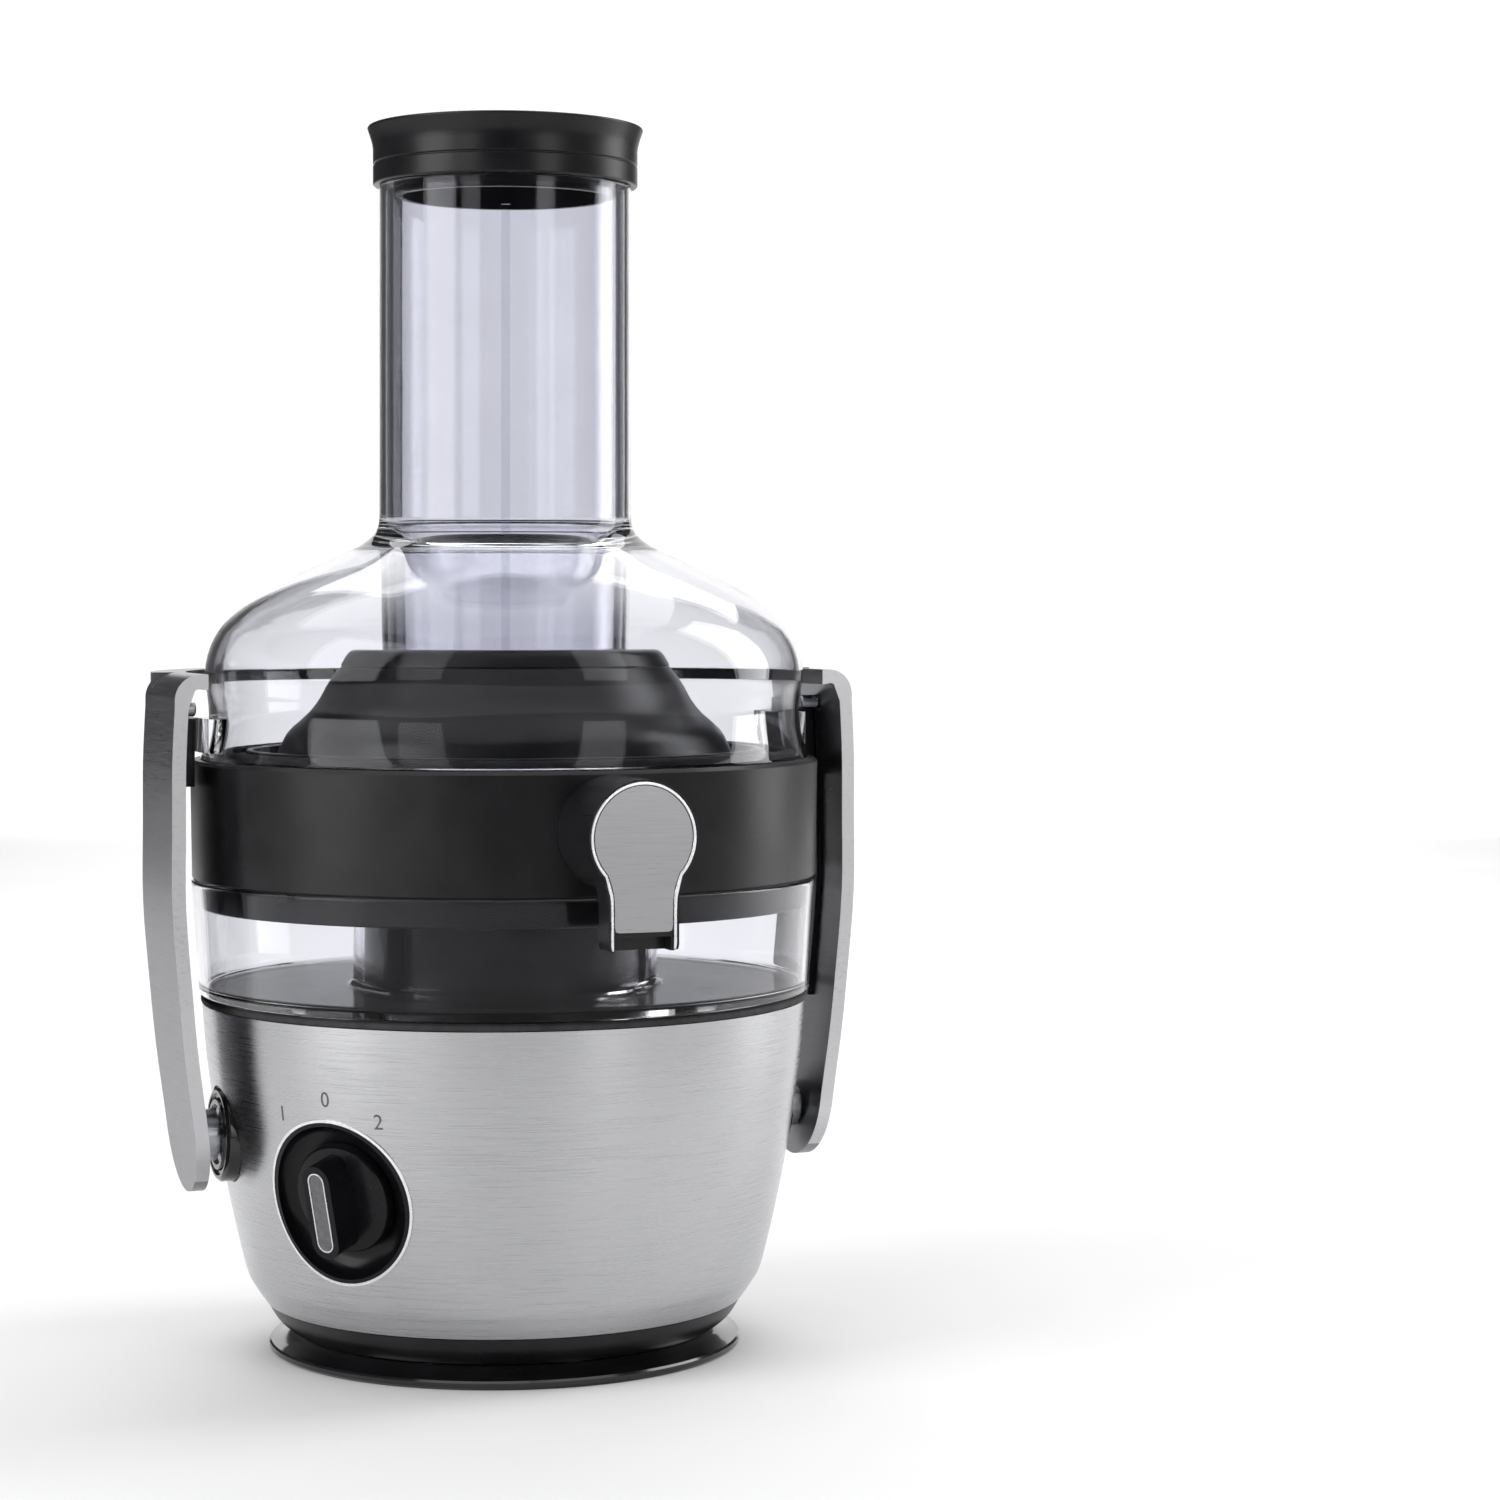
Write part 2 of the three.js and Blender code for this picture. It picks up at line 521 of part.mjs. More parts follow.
function addSpout() {
  const front = SPOUT_FRONT;
  const barrel = onSpout(disc(SPOUT_RADIUS, SPOUT_BACK, front, 32));
  const noseBody = onSpout(extruded(keyhole(0, -NOSE_REACH), front - NOSE_DEPTH, front, 10));
  const socketBore = onSpout(disc(SOCKET_RADIUS + 0.4, SPOUT_BACK - 1, SOCKET_END + 0.6, 20));
  const chamber = onSpout(disc(SPOUT_BORE, 120, front - 3, 16));
  const wallThickness = 2.4;
  const channelDepth = NOSE_DEPTH - 2 * wallThickness;
  const channel = block(2 * (NOSE_HALF_WIDTH - wallThickness), channelDepth, 50,
    0, -(front - NOSE_DEPTH / 2), SPOUT_HEIGHT - 25);
  const frontGap = block(2 * (NOSE_HALF_WIDTH - wallThickness), NOSE_DEPTH / 2, 10,
    0, -front, SPOUT_HEIGHT - NOSE_REACH - 5 + 4.6);
  const recess = onSpout(extruded(keyhole(1.4, -NOSE_REACH + 6.4), front - 1, front + 1, 10));
  const hollows = [socketBore, chamber, channel, frontGap, recess];
  add('drip_stop_spout', cut(join(barrel, noseBody), ...hollows), SATIN_BLACK);
  const plate = extruded(keyhole(1.7, -NOSE_REACH + 6.7), front - 0.7, front, 10);
  add('spout_face', onSpout(plate), BRUSHED_STEEL);
}

// ---- sieve --------------------------------------------------------------------------------
const CONE_STATIONS = [[81.4, 211.6], [80.1, 214.2], [76.9, 220.3], [68.8, 227.1], [63.3, 236.1],
  [59.2, 242.4]];
const CONE_LINE = smooth(CONE_STATIONS, 5);

function addSieve() {
  const inside = offset(CONE_LINE, 2).reverse();
  add('sieve_cone', turned([...CONE_LINE, [56.6, 246.6], [54, 248.6], [50, 249], [47.6, 248], [47.6, 245.4],
    [54, 244], ...inside], MIDDLE_SEGMENTS), SATIN_BLACK);
  const sheet = turned([[84, 181.2], [81, 210.2], [80.2, 210.2], [83.2, 181.2]], MIDDLE_SEGMENTS);
  add('sieve_mesh', sheet, BRUSHED_STEEL);
  const rim = ring(81, 85.6, 176, 180.9, MIDDLE_SEGMENTS);
  const hub = ring(14.8, 18, 161, 180, INNER_SEGMENTS);
  const cover = ring(SHAFT_RADIUS + 1, 18, 174, 180, INNER_SEGMENTS);
  const spokes = [];
  const count = 6;
  for (let i = 0; i < count; i += 1) {
    spokes.push(block(66, 5, 4, 49, 0, 178).rotateZ(i * 2 * Math.PI / count));
  }
  add('sieve_hub', join(hub, cover, rim, ...spokes), SATIN_BLACK);
  const disk = disc(50, 180.3, 182, MIDDLE_SEGMENTS);
  const teeth = [];
  const rows = 3;
  for (let row = 0; row < rows; row += 1) {
    const perRow = 6 + 3 * row;
    for (let i = 0; i < perRow; i += 1) {
      teeth.push(block(4, 0.8, 2.6, 14 + 12 * row, 0, 182.6).rotateZ((i + row / 2) * 2 * Math.PI / perRow));
    }
  }
  add('grater_disc', join(disk, ...teeth), BRUSHED_STEEL);
}

// ---- lid and the feed tube welded into it --------------------------------------------------
function addLid() {
  const skirt = smooth([[108.7, LID_BOTTOM], [106.6, 217.5], [105.9, 224.8], [106.5, 232],
    [107.1, 240.2]], 2);
  const dome = smooth([[107.1, 240.2], [104.2, 251.6], [99.9, 258.8], [91.3, 265.9], [78.8, 273.1],
    [63.1, 280.3], [49.1, TUBE_SHOULDER]], 6).slice(1);
  const outer = [...skirt, ...dome, [TUBE_RADIUS + 0.9, 289.6], [TUBE_RADIUS + 0.1, 291]];
  const inner = offset([...skirt, ...dome], LID_WALL).filter(([r]) => r > TUBE_RADIUS + 1.5)
    .map(([r, z]) => [r, Math.max(z, LID_BOTTOM)]).reverse();
  const shell = turned([...outer, [TUBE_RADIUS + 0.1, 283], ...inner], OUTER_SEGMENTS);
  const lugs = [-1, 1].map((side) => block(7, 26, 12, side * 108.3, 0, 218.8));
  const bore = disc(104, 200, 240, OUTER_SEGMENTS);
  add('lid', join(shell, ...lugs.map((lug) => cut(lug, bore))), CLEAR_PLASTIC);
  add('lid_seal', ring(100.5, 104.2, LID_BOTTOM, 212.4, MIDDLE_SEGMENTS), RUBBER);
  const tube = [[TUBE_RADIUS, TUBE_TOP], [TUBE_RADIUS - TUBE_WALL, TUBE_TOP],
    [TUBE_RADIUS - TUBE_WALL, TUBE_SHOULDER], [TUBE_END_RADIUS - TUBE_WALL, TUBE_BOTTOM],
    [TUBE_END_RADIUS, TUBE_BOTTOM], [TUBE_RADIUS, 283]];
  add('feed_tube', turned(tube, OUTER_SEGMENTS), CLEAR_PLASTIC);
}

// ---- pusher -------------------------------------------------------------------------------
function addPusher() {
  const skin = 2;
  add('pusher_tube', turned([[0, 195.6], [PUSHER_END_RADIUS - 1.4, 195.6], [PUSHER_END_RADIUS, 197],
    [PUSHER_RADIUS, 300], [PUSHER_RADIUS, 412], [PUSHER_RADIUS - skin, 412], [PUSHER_RADIUS - skin, 300],
    [PUSHER_END_RADIUS - skin, 198], [0, 198]], MIDDLE_SEGMENTS), CLEAR_PLASTIC);
  const plugRadius = PUSHER_RADIUS - skin - 0.4;
  const flare = smooth([[CAP_RADIUS, 428], [47.9, 431], [CAP_RIM_RADIUS, 434.8]], 2);
  add('pusher_cap', turned([[0, 429], [37, 429], [37, 407], [plugRadius, 407], [plugRadius, CAP_BOTTOM],
    [CAP_RADIUS, CAP_BOTTOM], [CAP_RADIUS, 421.5], [CAP_RADIUS - 0.5, 421.7], [CAP_RADIUS - 0.5, 422.1],
    [CAP_RADIUS, 422.3], ...flare, [CAP_RIM_RADIUS - 0.5, CAP_TOP], [46.4, CAP_TOP], [45.2, 432.4],
    [0, 432.4]],
  MIDDLE_SEGMENTS), SATIN_BLACK);
}

addFoot();
addCasing();
addDeck();
addCordGland();
addMotor();
addRotor();
addControls();
addSpeedControl();
addBail();
addPulpContainer();
addCollector();
addSpout();
addSieve();
addLid();
addPusher();

export default juicer;
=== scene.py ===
import json
import math

import bpy
from mathutils import Matrix, Vector


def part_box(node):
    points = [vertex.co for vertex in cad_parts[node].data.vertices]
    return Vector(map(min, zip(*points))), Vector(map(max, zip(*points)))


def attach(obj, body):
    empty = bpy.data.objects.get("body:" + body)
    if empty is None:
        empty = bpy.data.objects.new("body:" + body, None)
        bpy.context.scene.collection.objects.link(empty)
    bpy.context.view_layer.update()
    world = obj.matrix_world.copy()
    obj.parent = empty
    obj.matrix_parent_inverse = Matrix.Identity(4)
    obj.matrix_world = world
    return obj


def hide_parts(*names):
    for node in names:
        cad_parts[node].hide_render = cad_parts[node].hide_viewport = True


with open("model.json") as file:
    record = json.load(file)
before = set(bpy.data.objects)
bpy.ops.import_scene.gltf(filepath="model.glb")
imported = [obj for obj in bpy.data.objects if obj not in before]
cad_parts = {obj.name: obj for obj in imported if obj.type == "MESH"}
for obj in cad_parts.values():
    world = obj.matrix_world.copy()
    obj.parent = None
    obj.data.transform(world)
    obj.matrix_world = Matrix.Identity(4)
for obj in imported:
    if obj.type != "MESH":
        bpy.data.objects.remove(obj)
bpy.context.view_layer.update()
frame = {"nodes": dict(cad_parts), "record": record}

MM = 0.001

# ---- studio -------------------------------------------------------------------------------
# A pale paper floor and a lit diffuser behind the juicer, a softbox on each side, two dim ones in front, a
# wash on the floor and a big overhead panel. The camera stands level with the dome, left of the spout.
QUARTER_TURN = math.pi / 2
HEADING = math.radians(21.88)
WALL_DISTANCE = 4
WALL_MIDDLE = 1.1
CAMERA_PLACE = (-0.3918, -1.2118, 0.2666)

camera_data = bpy.data.cameras.new("juicer_camera")
camera_data.lens = 84.7
camera_data.sensor_width = 36.0
camera_data.shift_y = -0.1013
camera_data.clip_start = 0.05
camera = bpy.data.objects.new("juicer_camera", camera_data)
camera.location = CAMERA_PLACE
camera.rotation_euler = (QUARTER_TURN, 0, -HEADING)
bpy.context.scene.collection.objects.link(camera)
bpy.context.scene.camera = camera
bpy.context.scene.view_settings.view_transform = "Standard"
bpy.context.scene.cycles.max_bounces = 32
bpy.context.scene.cycles.transmission_bounces = 32
bpy.context.scene.cycles.glossy_bounces = 12


def blank_material(name):
    material = bpy.data.materials.new(name)
    material.use_nodes = True
    tree = material.node_tree
    return material, tree, tree.nodes["Principled BSDF"]


def object_pattern(tree, scale):
    """Object coordinates stretched by a scale along each axis, in cycles per metre."""
    place = tree.nodes.new("ShaderNodeTexCoord")
    mapping = tree.nodes.new("ShaderNodeMapping")
    mapping.inputs["Scale"].default_value = scale
    tree.links.new(place.outputs["Object"], mapping.inputs["Vector"])
    return mapping.outputs["Vector"]


def noise(tree, scale, detail=4.0, roughness=0.55):
    node = tree.nodes.new("ShaderNodeTexNoise")
    node.inputs["Scale"].default_value = 1.0
    node.inputs["Detail"].default_value = detail
    node.inputs["Roughness"].default_value = roughness
    tree.links.new(object_pattern(tree, scale), node.inputs["Vector"])
    return node.outputs["Fac"]


def between(tree, factor, low, high):
    """A value that follows a pattern from low to high."""
    node = tree.nodes.new("ShaderNodeMapRange")
    node.inputs["From Min"].default_value = 0.3
    node.inputs["From Max"].default_value = 0.7
    node.inputs["To Min"].default_value = low
    node.inputs["To Max"].default_value = high
    tree.links.new(factor, node.inputs["Value"])
    return node.outputs["Result"]


def tint(tree, factor, dark, light):
    """A colour that follows a pattern from dark to light."""
    node = tree.nodes.new("ShaderNodeMix")
    node.data_type = "RGBA"
    node.inputs["A"].default_value = (*dark, 1)
    node.inputs["B"].default_value = (*light, 1)
    tree.links.new(between(tree, factor, 0, 1), node.inputs["Factor"])
    return node.outputs["Result"]


def relief(tree, shader, factor, depth, strength=1.0):
    node = tree.nodes.new("ShaderNodeBump")
    node.inputs["Strength"].default_value = strength
    node.inputs["Distance"].default_value = depth
    tree.links.new(factor, node.inputs["Height"])
    tree.links.new(node.outputs["Normal"], shader.inputs["Normal"])


def paper_white():
    material, tree, shader = blank_material("paper_sweep")
    tree.links.new(tint(tree, noise(tree, (3, 3, 3)), (0.86, 0.86, 0.865), (0.9, 0.9, 0.9)),
                   shader.inputs["Base Color"])
    shader.inputs["Roughness"].default_value = 0.8
    shader.inputs["Specular IOR Level"].default_value = 0.2
    return material


def floor_sheet():
    bpy.ops.object.select_all(action="DESELECT")
    bpy.ops.mesh.primitive_plane_add(size=4.6, location=(0.7, 1.0, 0))
    floor = bpy.context.object
    floor.name = "paper_floor"
    bpy.ops.object.mode_set(mode="EDIT")
    bpy.ops.mesh.subdivide(number_cuts=7)
    bpy.ops.object.mode_set(mode="OBJECT")
    bpy.ops.object.transform_apply(location=True, rotation=True, scale=True)
    floor.data.materials.append(paper_white())


def softbox(name, place, aim, width, height, power):
    data = bpy.data.lights.new(name, "AREA")
    data.shape = "RECTANGLE"
    data.size = width
    data.size_y = height
    data.energy = power
    lamp = bpy.data.objects.new(name, data)
    lamp.location = place
    lamp.rotation_euler = (Vector(aim) - Vector(place)).to_track_quat("-Z", "Y").to_euler()
    bpy.context.scene.collection.objects.link(lamp)


def room_light():
    world = bpy.data.worlds.new("dim_room")
    world.use_nodes = True
    tree = world.node_tree
    sky = tree.nodes["Background"]
    sky.inputs["Color"].default_value = (0.97, 0.97, 1.0, 1)
    sky.inputs["Strength"].default_value = 0.07
    bpy.context.scene.world = world


def luminous_wall():
    """A white diffuser lit from behind, square to the camera, that fills its view."""
    material, tree, shader = blank_material("lit_diffuser")
    tree.links.new(tint(tree, noise(tree, (2, 2, 2)), (0.97, 0.97, 0.98), (1, 1, 1)),
                   shader.inputs["Emission Color"])
    shader.inputs["Emission Strength"].default_value = 1.02
    shader.inputs["Base Color"].default_value = (0.02, 0.02, 0.02, 1)
    bpy.ops.object.select_all(action="DESELECT")
    bpy.ops.mesh.primitive_plane_add(size=1)
    wall = bpy.context.object
    wall.name = "lit_diffuser"
    wall.scale = (1.95, 2.2, 1)
    wall.rotation_euler = (QUARTER_TURN, 0, -HEADING)
    wall.location = (CAMERA_PLACE[0] + WALL_DISTANCE * math.sin(HEADING),
                     CAMERA_PLACE[1] + WALL_DISTANCE * math.cos(HEADING), WALL_MIDDLE)
    bpy.ops.object.transform_apply(location=True, rotation=True, scale=True)
    wall.data.materials.append(material)


floor_sheet()
room_light()
luminous_wall()
softbox("left_softbox", (-2.3, -0.35, 1.1), (0, 0, 0.25), 1.4, 2.3, 40)
softbox("front_left_softbox", (-1.9, -1.6, 1.1), (0, 0, 0.25), 0.8, 2.1, 9)
softbox("right_softbox", (1.9, 0.0, 1.0), (0, 0, 0.25), 0.8, 2.0, 24)
softbox("front_right_fill", (0.85, -2.4, 1.0), (0, 0, 0.2), 0.8, 2.0, 13)
softbox("floor_wash", (1.0, 1.9, 1.9), (1.0, 1.9, 0), 2.4, 1.4, 26)
softbox("overhead_panel", (0, 0.2, 2.3), (0, 0, 0.0), 3.0, 3.0, 40)


# ---- foot disc ----------------------------------------------------------------------------
# Gloss black injection-moulded disc that closes the base from below. Its top sweeps up in a hollow curve to
# the neck, and pads, screws and vent slots are let into its flat underside.
def millimetres(node):
    """The lowest and highest corners of a CAD node, in millimetres."""
    low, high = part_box(node)
    return low / MM, high / MM


def through(points, steps):
    """Points along a smooth curve through a few stations."""
    ends = [points[0], *points, points[-1]]
    line = []
    for i in range(len(points) - 1):
        p0, p1, p2, p3 = (Vector(p) for p in ends[i:i + 4])
        for k in range(steps):
            t = k / steps
            line.append(tuple(0.5 * (2 * p1 + (p2 - p0) * t + (2 * p0 - 5 * p1 + 4 * p2 - p3) * t * t
                                     + (3 * p1 - p0 - 3 * p2 + p3) * t ** 3)))
    return [*line, tuple(points[-1])]


def sideways(line, distance):
    """The same line moved to the left of its direction of travel."""
    moved = []
    for i, point in enumerate(line):
        before, after = Vector(line[max(i - 1, 0)]), Vector(line[min(i + 1, len(line) - 1)])
        along = (after - before).normalized()
        moved.append((point[0] - distance * along.y, point[1] + distance * along.x))
    return moved


def select_only(piece):
    bpy.ops.object.select_all(action="DESELECT")
    piece.select_set(True)
    bpy.context.view_layer.objects.active = piece


def traced(name, corners):
    """One vertex extruded from corner to corner round a closed outline, in X and Z."""
    bpy.ops.object.select_all(action="DESELECT")
    bpy.ops.mesh.primitive_plane_add(size=MM)
    piece = bpy.context.object
    piece.name = name
    piece.data.name = name
    bpy.ops.object.mode_set(mode="EDIT")
    bpy.ops.mesh.select_mode(type="VERT")
    bpy.ops.mesh.select_all(action="SELECT")
    bpy.ops.mesh.merge(type="CENTER")
    here = Vector((0, 0, 0))
    for number, (x, z) in enumerate([*corners, corners[0]]):
        there = Vector((x * MM, 0, z * MM))
        if number == 0:
            bpy.ops.transform.translate(value=there - here)
        else:
            bpy.ops.mesh.extrude_vertices_move(TRANSFORM_OT_translate={"value": there - here})
        here = there
    bpy.ops.mesh.select_all(action="SELECT")
    bpy.ops.mesh.remove_doubles(threshold=MM / 1000)
    return piece


def softened(piece, width, segments=2, angle=35):
    """Rounds the sharp edges and smooths the shading of the rest."""
    select_only(piece)
    if width:
        rounding = piece.modifiers.new("rounding", "BEVEL")
        rounding.width = width * MM
        rounding.segments = segments
        rounding.limit_method = "ANGLE"
        rounding.angle_limit = math.radians(angle)
        rounding.use_clamp_overlap = True
        bpy.ops.object.modifier_apply(modifier="rounding")
    bpy.ops.object.shade_smooth_by_angle(angle=math.radians(angle))
    flats = piece.modifiers.new("flats", "WEIGHTED_NORMAL")
    flats.mode = "FACE_AREA"
    flats.keep_sharp = True
    bpy.ops.object.modifier_apply(modifier="flats")
    return piece


def turned(name, corners, steps=128):
    """A closed outline of (radius, height) spun once round the vertical axis."""
    piece = traced(name, corners)
    bpy.ops.mesh.spin(steps=steps, angle=2 * math.pi, center=(0, 0, 0), axis=(0, 0, 1))
    bpy.ops.mesh.select_all(action="SELECT")
    bpy.ops.mesh.remove_doubles(threshold=MM / 1000)
    bpy.ops.mesh.delete_loose()
    bpy.ops.mesh.select_all(action="SELECT")
    bpy.ops.mesh.normals_make_consistent(inside=False)
    bpy.ops.object.mode_set(mode="OBJECT")
    return piece


def ring_of(inner, outer, bottom, top):
    return [(inner, bottom), (outer, bottom), (outer, top), (inner, top)]


def disc_of(radius, bottom, top):
    return [(0, bottom), (radius, bottom), (radius, top), (0, top)]


def placed(piece, matrix):
    select_only(piece)
    piece.matrix_world = matrix
    bpy.ops.object.transform_apply(location=True, rotation=True, scale=True)
    return piece


def combined(piece, tools, operation="DIFFERENCE"):
    """Cuts, joins or intersects a piece with other solids, which are used up."""
    for tool in tools:
        select_only(piece)
        step = piece.modifiers.new("combine", "BOOLEAN")
        step.operation = operation
        step.solver = "EXACT"
        step.object = tool
        bpy.ops.object.modifier_apply(modifier="combine")
        bpy.data.objects.remove(tool)
    return piece


def copied(piece, name, matrix):
    """A copy with its own mesh, set down at its own place."""
    select_only(piece)
    bpy.ops.object.duplicate()
    twin = bpy.context.object
    twin.name = name
    twin.data.name = name
    return placed(twin, matrix)


def block(name, size, place):
    """A plain block of a size in millimetres, used to cut with."""
    bpy.ops.object.select_all(action="DESELECT")
    bpy.ops.mesh.primitive_cube_add(size=MM, location=Vector(place) * MM)
    piece = bpy.context.object
    piece.name = name
    piece.scale = size
    bpy.ops.object.transform_apply(location=True, rotation=True, scale=True)
    return piece


def fitted(piece, material, body, slot, *nodes):
    """Gives a finished piece its material and its body, and hides the CAD nodes that it stands for. The slot
    is not used.
    """
    if material:
        piece.data.materials.clear()
        piece.data.materials.append(material)
    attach(piece, body)
    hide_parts(*nodes)
    return piece


def moulded_black(name, colour, roughness, grain_depth, coat=0.0, shine=0.5, grain=1100):
    """Black plastic: faint cloudiness, a fine moulded grain and handling marks in its roughness."""
    material, tree, shader = blank_material(name)
    lighter = tuple(c * 1.5 + 0.004 for c in colour)
    tree.links.new(tint(tree, noise(tree, (60, 60, 60)), colour, lighter), shader.inputs["Base Color"])
    tree.links.new(between(tree, noise(tree, (25, 25, 40), 1), roughness * 0.9, roughness * 1.15),
                   shader.inputs["Roughness"])
    relief(tree, shader, noise(tree, (grain, grain, grain), 3), grain_depth)
    shader.inputs["Coat Weight"].default_value = coat
    shader.inputs["Coat Roughness"].default_value = 0.05
    shader.inputs["Specular IOR Level"].default_value = shine
    return material


gloss_black = moulded_black("gloss_black_foot", (0.006, 0.006, 0.007), 0.12, 0.000004, 0.3)
low, high = millimetres("foot_disc")
FOOT_RADIUS = high.x
FOOT_HEIGHT = high.z
PAD_RING = 64
SCREW_RING = 70.5
VENT_RING = 46
VENT_COUNT = 24


def around(radius, angle, turn=0.0):
    return Matrix.Translation(Vector((radius * math.cos(angle), radius * math.sin(angle), 0)) * MM) @ \
        Matrix.Rotation(turn, 4, "Z")


def make_foot_disc():
    hollow = through([(FOOT_RADIUS - 1.4, 3.2), (80.2, 3.7), (77, 4.9), (75, FOOT_HEIGHT)], 6)
    profile = [(0, 0), (FOOT_RADIUS - 1.0, 0), (FOOT_RADIUS, 0.9), (FOOT_RADIUS, 2.4),
               (FOOT_RADIUS - 0.6, 3.1), *hollow, (0, FOOT_HEIGHT)]
    disc = turned("foot_disc_moulding", profile, 160)
    tools = []
    for i in range(4):
        pad_angle = (i + 0.5) * QUARTER_TURN
        tools.append(placed(turned("pocket", disc_of(9.8, -1, 2.5), 40), around(PAD_RING, pad_angle)))
        counterbore = [(0, -1), (4.3, -1), (4.3, 2.7), (2.2, 2.7), (2.2, 8), (0, 8)]
        tools.append(placed(turned("bore", counterbore, 24), around(SCREW_RING, i * QUARTER_TURN)))
    for i in range(VENT_COUNT):
        angle = (i + 0.5) * 2 * math.pi / VENT_COUNT
        slot = block("vent", (20, 2.6, 20), (0, 0, 0))
        tools.append(placed(slot, around(VENT_RING, angle, angle)))
    combined(disc, tools)
    fitted(softened(disc, 0.35), gloss_black, "base", "gloss_black", "foot_disc")


make_foot_disc()


# ---- rubber pads and foot screws ----------------------------------------------------------
# Four black rubber pads glued flush into the foot disc, and four cross-head screws that hold the disc on.
def soft_rubber():
    material, tree, shader = blank_material("foot_rubber")
    tree.links.new(tint(tree, noise(tree, (90, 90, 90)), (0.012, 0.012, 0.012), (0.03, 0.03, 0.031)),
                   shader.inputs["Base Color"])
    tree.links.new(between(tree, noise(tree, (300, 300, 300)), 0.62, 0.85), shader.inputs["Roughness"])
    relief(tree, shader, noise(tree, (1500, 1500, 1500), 5), 0.00003)
    return material


def plated_steel():
    material, tree, shader = blank_material("plated_steel")
    tree.links.new(tint(tree, noise(tree, (140, 140, 140)), (0.32, 0.33, 0.35), (0.5, 0.51, 0.54)),
                   shader.inputs["Base Color"])
    shader.inputs["Metallic"].default_value = 1.0
    tree.links.new(between(tree, noise(tree, (80, 80, 900), 5), 0.22, 0.38), shader.inputs["Roughness"])
    relief(tree, shader, noise(tree, (400, 400, 6000), 3), 0.000006)
    return material


rubber = soft_rubber()
steel_plated = plated_steel()


def make_pads_and_screws():
    pad = turned("pad_pattern", [(0, 0), (8.9, 0), (9.5, 0.5), (9.5, 2.2), (0, 2.2)], 48)
    grooves = [turned("groove", ring_of(r, r + 0.8, -0.5, 0.5), 40) for r in (3.2, 6.2)]
    combined(pad, grooves)
    softened(pad, 0.15)
    head, shank, face, shoulder, tip = 3.8, 1.8, 0.6, 2.4, 16
    profile = [(0, face), (head - 0.5, face), (head, face + 0.5), (head, shoulder), (shank, shoulder),
               (shank, tip), (0, tip)]
    screw = turned("screw_pattern", profile, 32)
    cross = [block("cross", size, (0, 0, face)) for size in ((4.2, 0.9, 2.2), (0.9, 4.2, 2.2))]
    combined(screw, cross)
    softened(screw, 0.12)
    for i in range(4):
        pad_angle = (i + 0.5) * QUARTER_TURN
        fitted(copied(pad, f"rubber_pad_{i + 1}", around(PAD_RING, pad_angle)), rubber, "base", "rubber",
               f"rubber_foot_{i + 1}")
        fitted(copied(screw, f"foot_screw_head_{i + 1}", around(SCREW_RING, i * QUARTER_TURN, 0.4 + i)),
               steel_plated, "base", "machined_steel", f"foot_screw_{i + 1}")
    bpy.data.objects.remove(pad)
    bpy.data.objects.remove(screw)


make_pads_and_screws()


# ---- steel sleeve and chassis -------------------------------------------------------------
# The base is a black plastic bowl with a spun stainless sleeve pulled over it, brushed round and round.
# Both are pierced for the control, the two pivots and the cord.
KNOB_AZIMUTH = math.radians(52.7)
KNOB_TILT = math.radians(14)
KNOB_HEIGHT = 63.2
KNOB_SURFACE = 100
DISH_RADIUS = 28.1
PIVOT_HEIGHT = 79.6
BUSHING_RADIUS = 16.5
GLAND_HEIGHT = 34
GLAND_RADIUS = 8

low, high = millimetres("housing_shell")
SHELL_BOTTOM = low.z
SHELL_TOP = high.z
SHELL_WALL = 1.2
SHELL_LINE = through([(85.5, SHELL_BOTTOM), (89.3, 23), (92.4, 29.5), (97.6, 51.2), (101.8, 72.9),
                      (106, 101.5), (108, SHELL_TOP)], 6)


def outward(azimuth, tilt, height, radius):
    """The place and directions of something set on the casing. Azimuth goes from the spout towards -X."""
    level = math.cos(tilt)
    normal = Vector((-math.sin(azimuth) * level, -math.cos(azimuth) * level, -math.sin(tilt)))
    right = Vector((0, 0, 1)).cross(normal).normalized()
    up = normal.cross(right)
    matrix = Matrix((right, up, normal)).transposed().to_4x4()
    matrix.translation = Vector((-math.sin(azimuth) * radius, -math.cos(azimuth) * radius, height)) * MM
    return matrix


KNOB_MATRIX = outward(KNOB_AZIMUTH, KNOB_TILT, KNOB_HEIGHT, KNOB_SURFACE)


def along_x(side, height=PIVOT_HEIGHT, y=0.0):
    """Turns a piece made round Z so that its axis points sideways, out from the juicer's middle."""
    return Matrix.Translation(Vector((0, y, height)) * MM) @ Matrix.Rotation(side * QUARTER_TURN, 4, "Y")


def along_y(height, sign):
    return Matrix.Translation(Vector((0, 0, height)) * MM) @ Matrix.Rotation(sign * QUARTER_TURN, 4, "X")


def casing_holes(dish_radius, gap):
    holes = [placed(turned("hole", disc_of(dish_radius, -30, 14), 96), KNOB_MATRIX)]
    holes.append(placed(turned("hole", disc_of(GLAND_RADIUS + gap, 70, 120), 40), along_y(GLAND_HEIGHT, -1)))
    bore = disc_of(BUSHING_RADIUS + gap, 60, 120)
    holes += [placed(turned("hole", bore, 64), along_x(side)) for side in (1, -1)]
    return holes


